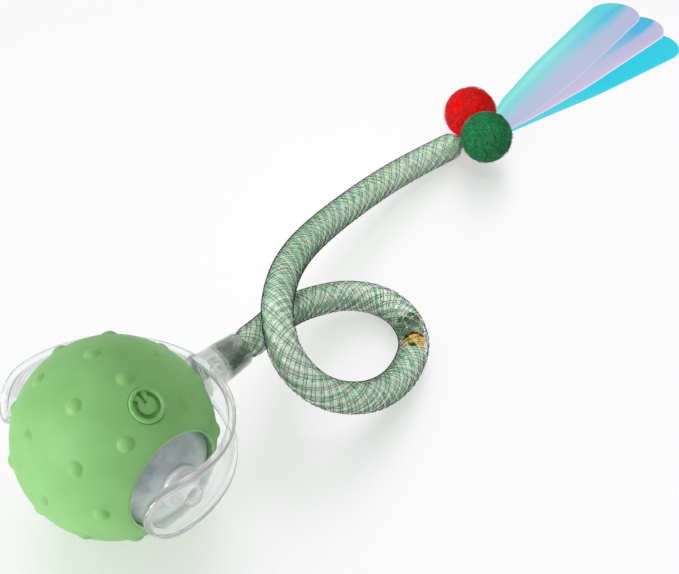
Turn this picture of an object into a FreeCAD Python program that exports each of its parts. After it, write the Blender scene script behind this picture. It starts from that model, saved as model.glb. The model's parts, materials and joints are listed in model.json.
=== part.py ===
"""Self-rolling cat ball: a motor ball in a silicone sleeve, a clear yoke on its poles and a mesh tail.

Millimetres. The ball's poles lie along X, the tail leaves along +Y, +Z is up, and the origin is
on the floor under the ball's centre.
"""
import FreeCAD, Part
import math
import os

import Sketcher
from FreeCAD import Placement, Rotation, Vector
from fcgear import involute
from fcgear.fcgear import FCWireBuilder

# Driving sizes in millimetres and degrees: name, value, what it is
SIZES = [
    ("shell_radius", 21.5, "hard shell, outside"),
    ("shell_wall", 1.5, "hard shell, wall"),
    ("sleeve_gap", 0.05, "between hard shell and sleeve"),
    ("sleeve_wall", 1.75, "silicone sleeve, wall"),
    ("opening_radius", 12.1, "polar opening in the sleeve"),
    ("opening_round", 0.5, "rounding of the opening's lip"),
    ("nub_height", 0.7, "nub above the sleeve"),
    ("nub_foot", 1.8, "nub radius at its foot"),
    ("nub_first", 48.0, "polar angle of the first ring of nubs"),
    ("nub_step", 17.5, "polar angle between rings of nubs"),
    ("nub_beside_key", 74.0, "polar angle of the nub next to the power key"),
    ("key_angle", 55.0, "polar angle of the power key"),
    ("key_radius", 4.2, "power key, outside"),
    ("key_ring", 0.75, "width of the key's raised ring"),
    ("key_ring_height", 0.75, "raised ring above the key's face"),
    ("key_face", "=shell_radius + sleeve_gap + sleeve_wall - 0.35", "key's face, from the ball's centre"),
    ("key_base", "=shell_radius + 0.4", "key's underside, from the ball's centre"),
    ("key_gap", 0.1, "between key and sleeve"),
    ("key_stem", 1.0, "radius of the key's stem"),
    ("symbol_depth", 0.45, "depth of the power symbol"),
    ("symbol_radius", 3.1, "power symbol, outside"),
    ("symbol_width", 0.9, "width of the symbol's arc"),
    ("symbol_bar", 0.7, "width of the symbol's bar"),
    ("pole_flat", 5.3, "radius of the flat at each pole"),
    ("hub_disc_radius", 5.0, "clear disc at each pole"),
    ("hub_disc_thick", 2.0, "thickness of that disc"),
    ("pin_radius", 1.5, "yoke pin"),
    ("running_gap", 0.05, "radial clearance of what turns"),
    ("pin_socket_end", "=shell_radius - 5", "bottom of the pin socket, from the ball's centre"),
    ("pin_end_gap", 0.7, "between pin tip and socket bottom"),
    ("hub_boss_radius", 3.4, "boss round the pin socket, inside the shell"),
    ("hub_boss_end", "=shell_radius - 6.5", "inner end of that boss, from the ball's centre"),
    ("yoke_inner", "=shell_radius + sleeve_gap + sleeve_wall + nub_height + 2", "yoke band, inside radius"),
    ("yoke_web", 1.0, "thickness of the band between its rims"),
    ("yoke_rim", 1.8, "thickness of the band at its rims"),
    ("rim_width", 1.2, "width of a rim"),
    ("leaf_radius", 7.7, "half width of the yoke's leaf at the pole"),
    ("leaf_centre", 5.0, "leaf's round end, behind the ball's axis"),
    ("neck_radius", 5.4, "half width of the band at the socket"),
    ("boss_gap", 0.35, "between yoke boss and hub disc"),
    ("yoke_boss_radius", 2.6, "boss that carries the yoke pin"),
    ("socket_root", 5.3, "outside radius of the tail socket at the band"),
    ("socket_mouth", 4.35, "outside radius of the tail socket at its mouth"),
    ("socket_reach", "=yoke_inner + 14", "mouth of the socket, from the ball's axis"),
    ("socket_bottom", "=yoke_inner + 7.8", "bottom of the socket, from the ball's axis"),
    ("tube_neck", 3.6, "outside radius of the mesh tube in the socket"),
    ("tube_radius", 4.1, "outside radius of the mesh tube"),
    ("tube_wall", 0.4, "thickness of the mesh"),
    ("tube_fit", 0.05, "between mesh tube and socket"),
    ("crimp_length", 3.6, "crimp ring in the tube's end"),
    ("tinsel_radius", 1.9, "bundle of tinsel"),
    ("bell_radius", 2.9, "jingle bell, outside"),
    ("bell_wall", 0.35, "jingle bell, wall"),
    ("bell_slot", 0.8, "width of the bell's slot"),
    ("pellet_radius", 0.9, "pellet in the bell"),
    ("gather_radius", 1.8, "outside radius of the mesh where it is gathered"),
    ("gather_length", 5.0, "length over which the mesh is gathered"),
    ("tie_radius", 1.4, "whipping at the tail's end"),
    ("red_ball_radius", 7.8, "red felt ball"),
    ("green_ball_radius", 7.5, "green felt ball"),
    ("green_ball_rise", 2.1, "green felt ball above the floor, held by its thread"),
    ("film_thick", 0.3, "film strip as modelled"),
    ("film_layer", 0.4, "height from one film strip to the next"),
    ("film_stem", 2.4, "width of a film strip between the balls"),
    ("film_width", 16.8, "width of a film strip at its tip"),
    ("plate_radius", "=shell_radius - 1", "chassis plate"),
    ("plate_thick", 1.4, "thickness of that plate"),
    ("screw_circle", "=plate_radius - 3.2", "circle of the shell screws"),
    ("screw_radius", 0.8, "shell screw, thread"),
    ("screw_head_radius", 1.5, "shell screw, head"),
    ("screw_head_height", 1.2, "height of that head"),
    ("screw_head_depth", 8.2, "underside of the heads, from the parting plane"),
    ("screw_length", 13.0, "shell screw under its head"),
    ("boss_radius", 2.2, "screw boss"),
    ("boss_cover", 2.8, "left screw boss beyond the underside of the screw heads"),
    ("screw_play", 0.1, "clearance of a screw in the left shell and the plate"),
    ("gear_module", 0.4, "module of the gears"),
    ("wheel_teeth", 34, "teeth of both large wheels"),
    ("pinion_teeth", 12, "teeth of both pinions"),
    ("pressure_angle", 22.5, "pressure angle of the teeth"),
    ("mesh_gap", 0.07, "added to the distance between gear centres"),
    ("wheel_width", 1.6, "face width of the large wheels"),
    ("pinion_width", 2.0, "face width of the pinions"),
    ("gear_side_gap", 0.4, "between gears and what stands beside them"),
    ("axle_radius", 1.0, "axle of the swing weight"),
    ("gear_pin_radius", 0.75, "pin of the compound gear"),
    ("shaft_radius", 0.5, "motor shaft"),
    ("weight_radius", 14.5, "swing weight"),
    ("weight_thick", 6.0, "thickness of the swing weight"),
    ("weight_hub", 3.2, "hub of the swing weight"),
    ("axle_boss_end", "=shell_radius - 8.5", "inner end of the left axle boss, from the ball's centre"),
    ("axle_depth", 2.0, "depth of the axle in each boss"),
    ("motor_radius", 5.0, "motor can"),
    ("motor_length", 9.0, "motor can without its end cap"),
    ("motor_flat", 4.0, "flat sides of the motor can, from its axis"),
    ("motor_cap", 1.5, "motor end cap"),
    ("motor_nose", 1.8, "radius of the motor's front bearing"),
    ("cell_radius", 5.0, "battery cell"),
    ("cell_length", 18.0, "battery cell"),
    ("cell_gap", 0.6, "between the cell and the boss of the pin socket"),
    ("cell_along", "=hub_boss_end - cell_radius - cell_gap", "cell's axis, from the parting plane"),
    ("cell_up", 2.4, "cell's axis, above the ball's axis"),
    ("rib_thick", 2.0, "rib that cradles the cell"),
    ("rib_spread", 6.5, "from the middle to each rib"),
    ("board_face", "=shell_radius - 5.5", "circuit board's upper face, from the ball's centre"),
    ("board_thick", 1.0, "circuit board"),
    ("board_length", 13.0, "circuit board, along the meridian"),
    ("board_width", 15.0, "circuit board, across the meridian"),
    ("post_radius", 1.3, "post that holds the circuit board"),
    ("post_spread", 5.8, "from the middle to each post"),
    ("post_shift", 4.0, "posts, towards the equator"),
    ("post_screw", 0.5, "screw in that post"),
    ("switch_side", 4.6, "tact switch, side"),
    ("switch_height", 1.8, "tact switch, height"),
    ("plunger_radius", 0.8, "plunger of the tact switch"),
    ("plunger_rise", 0.9, "plunger above the tact switch"),
    ("plunger_gap", 0.05, "between the key's stem and the plunger"),
    ("chip_side", 4.0, "controller chip"),
    ("chip_height", 1.0, "controller chip, height"),
    ("port_width", 8.9, "charging port"),
    ("port_height", 3.2, "charging port, height"),
    ("port_length", 6.5, "charging port, length"),
    ("port_out", 8.1, "from the ball's axis to the port"),
    ("port_front", "=shell_radius - 2.8", "mouth of the port, from the parting plane"),
    ("port_wall", 0.3, "wall of the port's can"),
    ("port_fit", 0.05, "between the port and the shell"),
    ("port_board_thick", 0.8, "board under the port"),
    ("port_board_back", 0.9, "from the port's rear end to that board"),
]

# The tail after the socket, as points on its centre line: it drops to the floor, makes one loop
# that climbs back over the first stretch and comes down to the felt balls
TAIL_POINTS = [
    (-4.6, 56.4, 19.2),
    (-8.7, 67.3, 13.8),
    (-9.8, 78.0, 9.2),
    (-8.4, 86.6, 6.2),
    (-2.9, 92.4, 4.6),
    (5.6, 93.2, 4.1),
    (14.9, 88.0, 4.1),
    (20.8, 78.8, 4.8),
    (24.3, 67.8, 6.8),
    (24.9, 56.2, 11.4),
    (20.9, 46.0, 17.9),
    (13.3, 42.3, 26.4),
    (4.7, 47.9, 30.9),
    (-3.0, 56.4, 29.3),
    (-10.3, 66.5, 26.4),
    (-16.8, 78.2, 22.5),
    (-22.2, 90.9, 18.1),
    (-26.7, 104.5, 14.0),
    (-30.3, 118.4, 10.4),
    (-32.9, 132.8, 7.3),
    (-33.9, 147.3, 4.9),
    (-32.4, 163.6, 4.1),
]
FIRST_RUN = 12.2
# Where the tail left the socket when those points were chosen: they move with it
DRAWN_START = (0, 33.8, 23.598)
# How far along the tail the bell sits, as a share of its length
BELL_SHARE = 0.29981
TIE_END = (-31.0, 166.1, 2.1)
RED_BALL = (-36.5, 172.5)
GREEN_BALL = (-23.6, 164.0)
# The film strips cross under the point where the felt balls touch: direction and reach from there,
# and width at the shoulder
FILM_MEET = (-30.2, 170.6)
FILM_STRIPS = {
    "film_strip_right": (-5.2, 88.5, 5.6),
    "film_strip_middle": (1.5, 93.5, 7.8),
    "film_strip_left": (8.7, 96.0, 11.6),
}
FILM_STEM, FILM_SHOULDER, FILM_BELLY = 6, 20, 46
NUB_RING_COUNT = 6
COLUMN_STEP = 30
KEY_COLUMN = 90
SCREW_COUNT = 3
FIRST_SCREW = 30
COMPOUND_DIRECTION = -30
MOTOR_DIRECTION = -90
PORT_DIRECTION = -45

doc = FreeCAD.newDocument("CatBall")


class Size:
    """A size that knows its number and the formula that the document works it out with."""

    def __init__(self, number, formula):
        self.number = number
        self.formula = formula

    def joined(self, sign, other, number):
        return Size(number, f"({self.formula} {sign} {as_size(other).formula})")

    def __add__(self, other):
        return self.joined("+", other, self.number + as_size(other).number)

    def __sub__(self, other):
        return self.joined("-", other, self.number - as_size(other).number)

    def __mul__(self, other):
        return self.joined("*", other, self.number * as_size(other).number)

    def __truediv__(self, other):
        return self.joined("/", other, self.number / as_size(other).number)

    def __neg__(self):
        return Size(-self.number, f"(0 - {self.formula})")

    def __radd__(self, other):
        return as_size(other) + self

    def __rsub__(self, other):
        return as_size(other) - self

    def __rmul__(self, other):
        return as_size(other) * self


def as_size(value):
    return value if isinstance(value, Size) else Size(float(value), f"({float(value)})")


def root(size):
    return Size(math.sqrt(size.number), f"sqrt({size.formula})")


def cosine(angle):
    angle = as_size(angle)
    return Size(math.cos(math.radians(angle.number)), f"cos({angle.formula})")


def sine(angle):
    angle = as_size(angle)
    return Size(math.sin(math.radians(angle.number)), f"sin({angle.formula})")


def square(size):
    return size * size


class Sheet:
    """The spreadsheet of driving sizes; each size is read as an attribute."""

    def __init__(self, rows):
        cells = doc.addObject("Spreadsheet::Sheet", "Sizes")
        for row, (name, value, note) in enumerate(rows, start=1):
            cells.set(f"A{row}", name)
            cells.set(f"B{row}", str(value))
            cells.set(f"C{row}", note)
            cells.setAlias(f"B{row}", name)
        doc.recompute()
        for name, value, note in rows:
            setattr(self, name, Size(float(getattr(cells, name)), f"Sizes.{name}"))


s = Sheet(SIZES)


def bind(thing, field, size):
    """Set a field to a size, kept up to date by the document."""
    thing.setExpression(field, as_size(size).formula)


def fix(sketch, kind, *where):
    """Add a constraint whose last value is a size."""
    size = as_size(where[-1])
    number = sketch.addConstraint(Sketcher.Constraint(kind, *where[:-1], size.number))
    bind(sketch, f"Constraints[{number}]", size)


def origin_feature(body, role):
    return next(f for f in body.Origin.OriginFeatures if f.Role == role)


def new_body(label):
    body = doc.addObject("PartDesign::Body", label)
    body.Label = label
    return body


def new_sketch(body, plane, offset=0):
    sketch = body.newObject("Sketcher::SketchObject", "Sketch")
    sketch.AttachmentSupport = [(origin_feature(body, plane), "")]
    sketch.MapMode = "FlatFace"
    bind(sketch, "AttachmentOffset.Base.z", offset)
    return sketch


def arc_centre(start, end, radius, turn):
    """Centre of the arc of under a half circle; turn is 1 for anticlockwise, -1 for clockwise."""
    middle = (start + end) * 0.5
    chord = end - start
    rise = math.sqrt(max(radius**2 - (chord.Length / 2) ** 2, 0))
    return middle + Vector(-chord.y, chord.x, 0).normalize() * rise * turn


def draw(sketch, steps):
    """Draw a closed outline. A step is (x, y) for a line to it, or (x, y, radius, turn) for an arc."""
    places = [Vector(as_size(step[0]).number, as_size(step[1]).number, 0) for step in steps]
    ends = []
    for index, step in enumerate(steps):
        start, end = places[index - 1], places[index]
        if len(step) == 2:
            edge = sketch.addGeometry(Part.LineSegment(start, end))
            ends.append((edge, 1, 2))
            continue
        radius, turn = as_size(step[2]), step[3]
        centre = arc_centre(start, end, radius.number, turn)
        first, last = (start, end) if turn > 0 else (end, start)
        angles = [math.atan2(p.y - centre.y, p.x - centre.x) for p in (first, last)]
        circle = Part.Circle(centre, Vector(0, 0, 1), radius.number)
        edge = sketch.addGeometry(Part.ArcOfCircle(circle, *angles))
        fix(sketch, "Radius", edge, radius)
        ends.append((edge, 1, 2) if turn > 0 else (edge, 2, 1))
    for index, (edge, start, end) in enumerate(ends):
        before, _, before_end = ends[index - 1]
        sketch.addConstraint(Sketcher.Constraint("Coincident", before, before_end, edge, start))
        fix(sketch, "DistanceX", -1, 1, edge, end, steps[index][0])
        fix(sketch, "DistanceY", -1, 1, edge, end, steps[index][1])


def draw_circle(sketch, radius, x=0, y=0):
    x, y, radius = as_size(x), as_size(y), as_size(radius)
    centre = Vector(x.number, y.number, 0)
    edge = sketch.addGeometry(Part.Circle(centre, Vector(0, 0, 1), radius.number))
    fix(sketch, "Radius", edge, radius)
    fix(sketch, "DistanceX", -1, 1, edge, 3, x)
    fix(sketch, "DistanceY", -1, 1, edge, 3, y)


def draw_box(sketch, left, right, low, high):
    draw(sketch, [(left, low), (right, low), (right, high), (left, high)])


def add(body, kind, sketch, **fields):
    """Add a sketch-based feature to a body."""
    feature = body.newObject(f"PartDesign::{kind}", kind)
    feature.Profile = sketch
    for field, value in fields.items():
        if isinstance(value, Size):
            bind(feature, field, value)
        else:
            setattr(feature, field, value)
    return feature


def turn(body, steps, axis="X_Axis", kind="Revolution", angle=360):
    """Turn an outline about an axis: points are (along, radius) for X, (radius, along) for Z."""
    sketch = new_sketch(body, "XZ_Plane")
    draw(sketch, steps)
    return add(body, kind, sketch, ReferenceAxis=(origin_feature(body, axis), [""]), Angle=angle)


def pad(body, sketch, length, **fields):
    return add(body, "Pad", sketch, Length=as_size(length), **fields)


def pocket(body, sketch, length=None, **fields):
    if length is None:
        return add(body, "Pocket", sketch, Type="ThroughAll", **fields)
    return add(body, "Pocket", sketch, Length=as_size(length), **fields)


def repeat(body, features, count, axis="X_Axis", angle=360):
    """Repeat features round an axis of the body."""
    pattern = body.newObject("PartDesign::PolarPattern", "Pattern")
    pattern.Originals = features
    pattern.Axis = (origin_feature(body, axis), [""])
    pattern.Angle = angle
    pattern.Occurrences = count
    body.Tip = pattern
    return pattern


def place(thing, along=0, side=0, up=0):
    """Put a sub-part that belongs to the ball or the yoke at the ball's height."""
    bind(thing, "Placement.Base.x", along)
    bind(thing, "Placement.Base.y", side)
    bind(thing, "Placement.Base.z", up + ball_height)
    return thing


def face_key(thing, distance=0):
    """Put a sub-part on the power key's axis, its own Z pointing out of the ball."""
    thing.Placement = Placement(Vector(), Rotation(Vector(0, 1, 0), 1))
    bind(thing, "Placement.Rotation.Angle", 90 - s.key_angle)
    return place(thing, cosine(s.key_angle) * distance, 0, sine(s.key_angle) * distance)


def show(label, shape):
    """A sub-part whose shape is worked out here."""
    thing = doc.addObject("Part::Feature", label)
    thing.Label = label
    thing.Shape = shape
    return thing


def round_bar(label, start, length, radius):
    """A plain bar along X."""
    body = new_body(label)
    turn(body, [(start, 0), (start + length, 0), (start + length, radius), (start, radius)])
    return body


sleeve_inner = s.shell_radius + s.sleeve_gap
sleeve_radius = sleeve_inner + s.sleeve_wall
shell_inner = s.shell_radius - s.shell_wall
lowest_nub_tilt = s.nub_first + s.nub_step * 3 - 90
ball_height = (sleeve_radius + s.nub_height) * cosine(lowest_nub_tilt)
pole_face = root(square(s.shell_radius) - square(s.pole_flat))
disc_face = pole_face + s.hub_disc_thick
socket_radius = s.pin_radius + s.running_gap
yoke_outer = s.yoke_inner + s.yoke_rim
gear_distance = s.gear_module * (s.wheel_teeth + s.pinion_teeth) / 2 + s.mesh_gap
compound_side = gear_distance * cosine(COMPOUND_DIRECTION)
compound_up = gear_distance * sine(COMPOUND_DIRECTION)
motor_up = -gear_distance
wheel_start = -(s.gear_side_gap + s.wheel_width)
output_start = wheel_start - s.gear_side_gap - s.wheel_width
weight_start = output_start - s.gear_side_gap


def silicone_sleeve():
    """Ball skin with a round-lipped opening at each pole, staggered rings of nubs and a key hole."""
    body = new_body("silicone_sleeve")
    hole, lip = s.opening_radius, s.opening_round
    lip_out = hole + lip
    lip_along = root(square(sleeve_radius - lip) - square(lip_out))
    touch = sleeve_radius / (sleeve_radius - lip)
    turn(body, [
        (-lip_along, hole),
        (-lip_along * touch, lip_out * touch, lip, -1),
        (lip_along * touch, lip_out * touch, sleeve_radius, -1),
        (lip_along, hole, lip, -1),
    ])
    nub_radius = (square(s.nub_foot) + square(s.nub_height)) / (2 * s.nub_height)
    distance = sleeve_radius + s.nub_height - nub_radius

    def nub(polar_angle, column):
        sphere = body.newObject("PartDesign::AdditiveSphere", "Nub")
        bind(sphere, "Radius", nub_radius)
        bind(sphere, "AttachmentOffset.Base.x", distance * cosine(polar_angle))
        out = distance * sine(polar_angle)
        bind(sphere, "AttachmentOffset.Base.y", out * cosine(column))
        bind(sphere, "AttachmentOffset.Base.z", out * sine(column))
        sphere.AttachmentSupport = [(origin_feature(body, "XY_Plane"), "")]
        sphere.MapMode = "FlatFace"
        return sphere

    for ring in range(NUB_RING_COUNT):
        polar_angle = s.nub_first + s.nub_step * ring
        if ring == 1:
            first = nub(polar_angle, KEY_COLUMN + 2 * COLUMN_STEP)
            repeat(body, [first], NUB_RING_COUNT - 1, angle=240)
        else:
            first = nub(polar_angle, (ring % 2) * COLUMN_STEP)
            repeat(body, [first], NUB_RING_COUNT)
    nub(s.nub_beside_key, KEY_COLUMN)
    turn(body, [
        (-sleeve_inner, 0),
        (0, sleeve_inner, sleeve_inner, -1),
        (sleeve_inner, 0, sleeve_inner, -1),
    ], kind="Groove")
    key = body.newObject("PartDesign::SubtractiveCylinder", "KeyHole")
    bind(key, "Radius", s.key_radius + s.key_gap)
    bind(key, "Height", sleeve_radius + s.nub_height)
    key.AttachmentSupport = [(origin_feature(body, "XY_Plane"), "")]
    key.MapMode = "FlatFace"
    key.AttachmentOffset = Placement(Vector(), Rotation(Vector(0, 1, 0), 1))
    bind(key, "AttachmentOffset.Rotation.Angle", 90 - s.key_angle)
    return place(body)


def power_button():
    body = new_body("power_button")
    outside, ring = s.key_radius, s.key_radius - s.key_ring
    stem_end = s.board_face + s.switch_height + s.plunger_rise + s.plunger_gap
    turn(body, [
        (0, stem_end),
        (s.key_stem, stem_end),
        (s.key_stem, s.key_base),
        (outside, s.key_base),
        (outside, s.key_face + s.key_ring_height / 2),
        (ring + s.key_ring / 2, s.key_face + s.key_ring_height, s.key_ring * 0.75, 1),
        (ring, s.key_face, s.key_ring * 1.1, 1),
        (0, s.key_face),
    ], axis="Z_Axis")
    arc = new_sketch(body, "XY_Plane", s.key_face)
    symbol_arc(arc)
    pocket(body, arc, s.symbol_depth)
    bar = new_sketch(body, "XY_Plane", s.key_face)
    draw_box(bar, -s.symbol_radius - s.symbol_bar / 3, -s.symbol_bar, -s.symbol_bar / 2,
             s.symbol_bar / 2)
    pocket(body, bar, s.symbol_depth)
    return face_key(body)


def symbol_arc(sketch):
    """Open ring of the power symbol; its opening faces away from the pole, along -X here."""
    outside, inside = s.symbol_radius, s.symbol_radius - s.symbol_width
    half_opening = 38

    def at(radius, angle):
        return radius * cosine(180 + angle), radius * sine(180 + angle)

    quarter = (180 - half_opening) / 2
    steps = [at(outside, half_opening)]
    steps += [(*at(outside, half_opening + quarter * n), outside, 1) for n in (1, 2, 3, 4)]
    steps += [at(inside, -half_opening)]
    steps += [(*at(inside, -half_opening - quarter * n), inside, -1) for n in (1, 2, 3, 4)]
    draw(sketch, steps)


def half_shell(body, side):
    """Cup of the hard shell with its polar flat and its hub boss; side is 1 right, -1 left."""
    ledge = s.plate_thick if side > 0 else as_size(0)
    boss_end = s.hub_boss_end if side > 0 else s.axle_boss_end
    steps = [
        (side * pole_face, s.pole_flat, s.shell_radius, -side),
        (side * pole_face, socket_radius),
        (side * s.pin_socket_end, socket_radius),
        (side * s.pin_socket_end, 0),
        (side * boss_end, 0),
        (side * boss_end, s.hub_boss_radius),
        (side * root(square(shell_inner) - square(s.hub_boss_radius)), s.hub_boss_radius),
        (side * ledge, root(square(shell_inner) - square(ledge)), shell_inner, side),
    ]
    if side > 0:
        steps += [(ledge, s.plate_radius + s.running_gap), (0, s.plate_radius + s.running_gap)]
    steps += [(0, s.shell_radius)]
    turn(body, steps)


def screw_place(angle=FIRST_SCREW):
    return s.screw_circle * cosine(angle), s.screw_circle * sine(angle)


def shell_right():
    body = new_body("shell_right")
    half_shell(body, 1)
    boss = new_sketch(body, "YZ_Plane", s.plate_thick)
    draw_circle(boss, s.boss_radius, *screw_place())
    boss_pad = pad(body, boss, s.screw_length - s.screw_head_depth + s.screw_radius)
    hole = new_sketch(body, "YZ_Plane", s.plate_thick)
    draw_circle(hole, s.screw_radius, *screw_place())
    screw_hole = pocket(body, hole, s.screw_length - s.screw_head_depth, Reversed=True)
    repeat(body, [boss_pad, screw_hole], SCREW_COUNT)
    port = new_sketch(body, "YZ_Plane", s.port_front - s.port_length / 2)
    port_outline(port, s.port_width / 2 + s.port_fit, s.port_height / 2 + s.port_fit)
    pocket(body, port, s.port_length, Reversed=True)
    board_posts(body)
    stem = body.newObject("PartDesign::SubtractiveCylinder", "StemHole")
    bind(stem, "Radius", s.key_stem + 3 * s.key_gap)
    bind(stem, "Height", s.shell_radius + s.shell_wall)
    stem.AttachmentSupport = [(origin_feature(body, "XY_Plane"), "")]
    stem.MapMode = "FlatFace"
    stem.AttachmentOffset = Placement(Vector(), Rotation(Vector(0, 1, 0), 1))
    bind(stem, "AttachmentOffset.Rotation.Angle", 90 - s.key_angle)
    return place(body)


def board_posts(body):
    """Two posts that reach from the shell's inside to the circuit board."""
    for side in (-1, 1):
        post = body.newObject("PartDesign::AdditiveCylinder", "Post")
        bind(post, "Radius", s.post_radius)
        bind(post, "Height", shell_inner - s.board_face - s.shell_wall / 2)
        post.AttachmentSupport = [(origin_feature(body, "XY_Plane"), "")]
        post.MapMode = "FlatFace"
        post.AttachmentOffset = Placement(Vector(), Rotation(Vector(0, 1, 0), 1))
        bind(post, "AttachmentOffset.Rotation.Angle", 90 - s.key_angle)
        along = s.board_face * cosine(s.key_angle) - s.post_shift * sine(s.key_angle)
        up = s.board_face * sine(s.key_angle) + s.post_shift * cosine(s.key_angle)
        bind(post, "AttachmentOffset.Base.x", along)
        bind(post, "AttachmentOffset.Base.y", side * s.post_spread)
        bind(post, "AttachmentOffset.Base.z", up)


def port_outline(sketch, half_width, half_height):
    """Flat-sided oval of the charging port, turned to lie across the radius it stands on."""
    out, across = PORT_DIRECTION, PORT_DIRECTION + 90
    straight = half_width - half_height

    def at(along, outward):
        distance = s.port_out + outward
        return (distance * cosine(out) + along * cosine(across),
                distance * sine(out) + along * sine(across))

    draw(sketch, [
        at(straight, half_height),
        (*at(half_width, 0), half_height, -1),
        (*at(straight, -half_height), half_height, -1),
        at(-straight, -half_height),
        (*at(-half_width, 0), half_height, -1),
        (*at(-straight, half_height), half_height, -1),
    ])


def shell_left():
    body = new_body("shell_left")
    half_shell(body, -1)
    boss = new_sketch(body, "YZ_Plane")
    draw_circle(boss, s.boss_radius, *screw_place())
    boss_length = s.screw_head_depth + s.boss_cover
    repeat(body, [pad(body, boss, boss_length, Reversed=True)], SCREW_COUNT)
    trim_outside(body)
    hole = new_sketch(body, "YZ_Plane")
    draw_circle(hole, s.screw_radius + s.screw_play, *screw_place())
    screw_hole = pocket(body, hole)
    head = new_sketch(body, "YZ_Plane", -s.screw_head_depth)
    draw_circle(head, s.screw_head_radius + s.screw_play, *screw_place())
    head_hole = pocket(body, head)
    repeat(body, [screw_hole, head_hole], SCREW_COUNT)
    axle = new_sketch(body, "YZ_Plane", -s.axle_boss_end)
    draw_circle(axle, s.axle_radius + s.running_gap / 2)
    pocket(body, axle, s.axle_depth)
    return place(body)


def trim_outside(body):
    """Take off what stands out of the left half's ball shape."""
    clear = s.shell_radius + s.sleeve_wall
    turn(body, [
        (-pole_face, s.pole_flat),
        (0, s.shell_radius, s.shell_radius, -1),
        (0, clear),
        (-clear, clear),
        (-clear, s.pole_flat),
    ], kind="Groove")


def hub_disc(label, side):
    body = new_body(label)
    rim = s.hub_disc_radius
    edge = s.hub_disc_thick / 5
    turn(body, [
        (side * pole_face, socket_radius),
        (side * disc_face, socket_radius),
        (side * disc_face, rim - edge),
        (side * (disc_face - edge), rim, edge, -side),
        (side * pole_face, rim),
    ])
    return place(body)


def shell_screws():
    """Three screws, one solid each."""
    start = -(s.screw_head_depth + s.screw_head_height)
    screws = []
    for number in range(SCREW_COUNT):
        parts = []
        for radius, begin, length in (
            (s.screw_head_radius, start, s.screw_head_height),
            (s.screw_radius - s.running_gap, -s.screw_head_depth - s.running_gap, s.screw_length),
        ):
            bar = doc.addObject("Part::Cylinder", "ScrewPart")
            bind(bar, "Radius", radius)
            bind(bar, "Height", length)
            bar.Placement = Placement(Vector(), Rotation(Vector(0, 1, 0), 90))
            side, up = screw_place(FIRST_SCREW + number * 360 / SCREW_COUNT)
            bind(bar, "Placement.Base.x", begin)
            bind(bar, "Placement.Base.y", side)
            bind(bar, "Placement.Base.z", up)
            parts.append(bar)
        screw = doc.addObject("Part::MultiFuse", "Screw")
        screw.Shapes = parts
        screws.append(screw)
    group = doc.addObject("Part::Compound", "shell_screws")
    group.Label = "shell_screws"
    group.Links = screws
    return place(group)


def chassis_plate():
    body = new_body("chassis_plate")
    disc = new_sketch(body, "YZ_Plane")
    draw_circle(disc, s.plate_radius)
    pad(body, disc, s.plate_thick)
    boss = new_sketch(body, "YZ_Plane", s.plate_thick)
    draw_circle(boss, 2.4 * s.axle_radius)
    pad(body, boss, s.axle_depth)
    for side in (-1, 1):
        rib = new_sketch(body, "YZ_Plane", s.plate_thick)
        near, far = side * s.rib_spread, side * (s.rib_spread + s.rib_thick)
        draw_box(rib, min(near, far, key=lambda x: x.number), max(near, far, key=lambda x: x.number),
                 s.cell_up - s.cell_radius * 0.8, s.cell_up + s.cell_radius * 0.8)
        pad(body, rib, s.cell_along - s.plate_thick - s.cell_radius / 4)
    cradle = new_sketch(body, "XZ_Plane")
    draw_circle(cradle, s.cell_radius + s.running_gap, s.cell_along, s.cell_up)
    pocket(body, cradle, Midplane=True)
    for radius, side, up in (
        (s.motor_nose + s.running_gap, as_size(0), motor_up),
        (s.gear_pin_radius + s.running_gap / 5, compound_side, compound_up),
        (s.axle_radius + s.running_gap / 5, as_size(0), as_size(0)),
    ):
        hole = new_sketch(body, "YZ_Plane")
        draw_circle(hole, radius, side, up)
        pocket(body, hole, s.plate_thick + s.axle_depth / 2, Reversed=True)
    screw = new_sketch(body, "YZ_Plane")
    draw_circle(screw, s.screw_radius + s.screw_play, *screw_place())
    screw_hole = pocket(body, screw, s.plate_thick, Reversed=True)
    repeat(body, [screw_hole], SCREW_COUNT)
    return place(body)


def gear_prism(teeth, width, start, phase):
    """Toothed prism about X from start, its first tooth at that angle from +Y."""
    outline = FCWireBuilder()
    involute.CreateExternalGear(outline, s.gear_module.number, int(teeth.number),
                                s.pressure_angle.number, False)
    wire = Part.Wire([edge.toShape() for edge in outline.wire])
    face = Part.Face(wire)
    face.rotate(Vector(), Vector(0, 0, 1), phase)
    prism = face.extrude(Vector(0, 0, width.number))
    prism.rotate(Vector(), Vector(1, 1, 1), 120)
    prism.translate(Vector(start.number, 0, 0))
    return prism


def round_prism(radius, start, length):
    return Part.makeCylinder(radius.number, length.number, Vector(start.number, 0, 0),
                             Vector(1, 0, 0))


def gap_phase(teeth, direction):
    """Turn that puts a gap between teeth in a direction."""
    return direction + 180 / teeth.number


def output_gear():
    """Large wheel of the second reduction; a gap faces the compound gear."""
    wheel = gear_prism(s.wheel_teeth, s.wheel_width, output_start,
                       gap_phase(s.wheel_teeth, COMPOUND_DIRECTION))
    hub = round_prism(s.weight_hub, weight_start, s.gear_side_gap + s.wheel_width)
    bore = round_prism(s.axle_radius + s.running_gap, weight_start - 1, s.wheel_width + 2)
    return place(show("output_gear", wheel.fuse(hub).cut(bore)))


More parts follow.
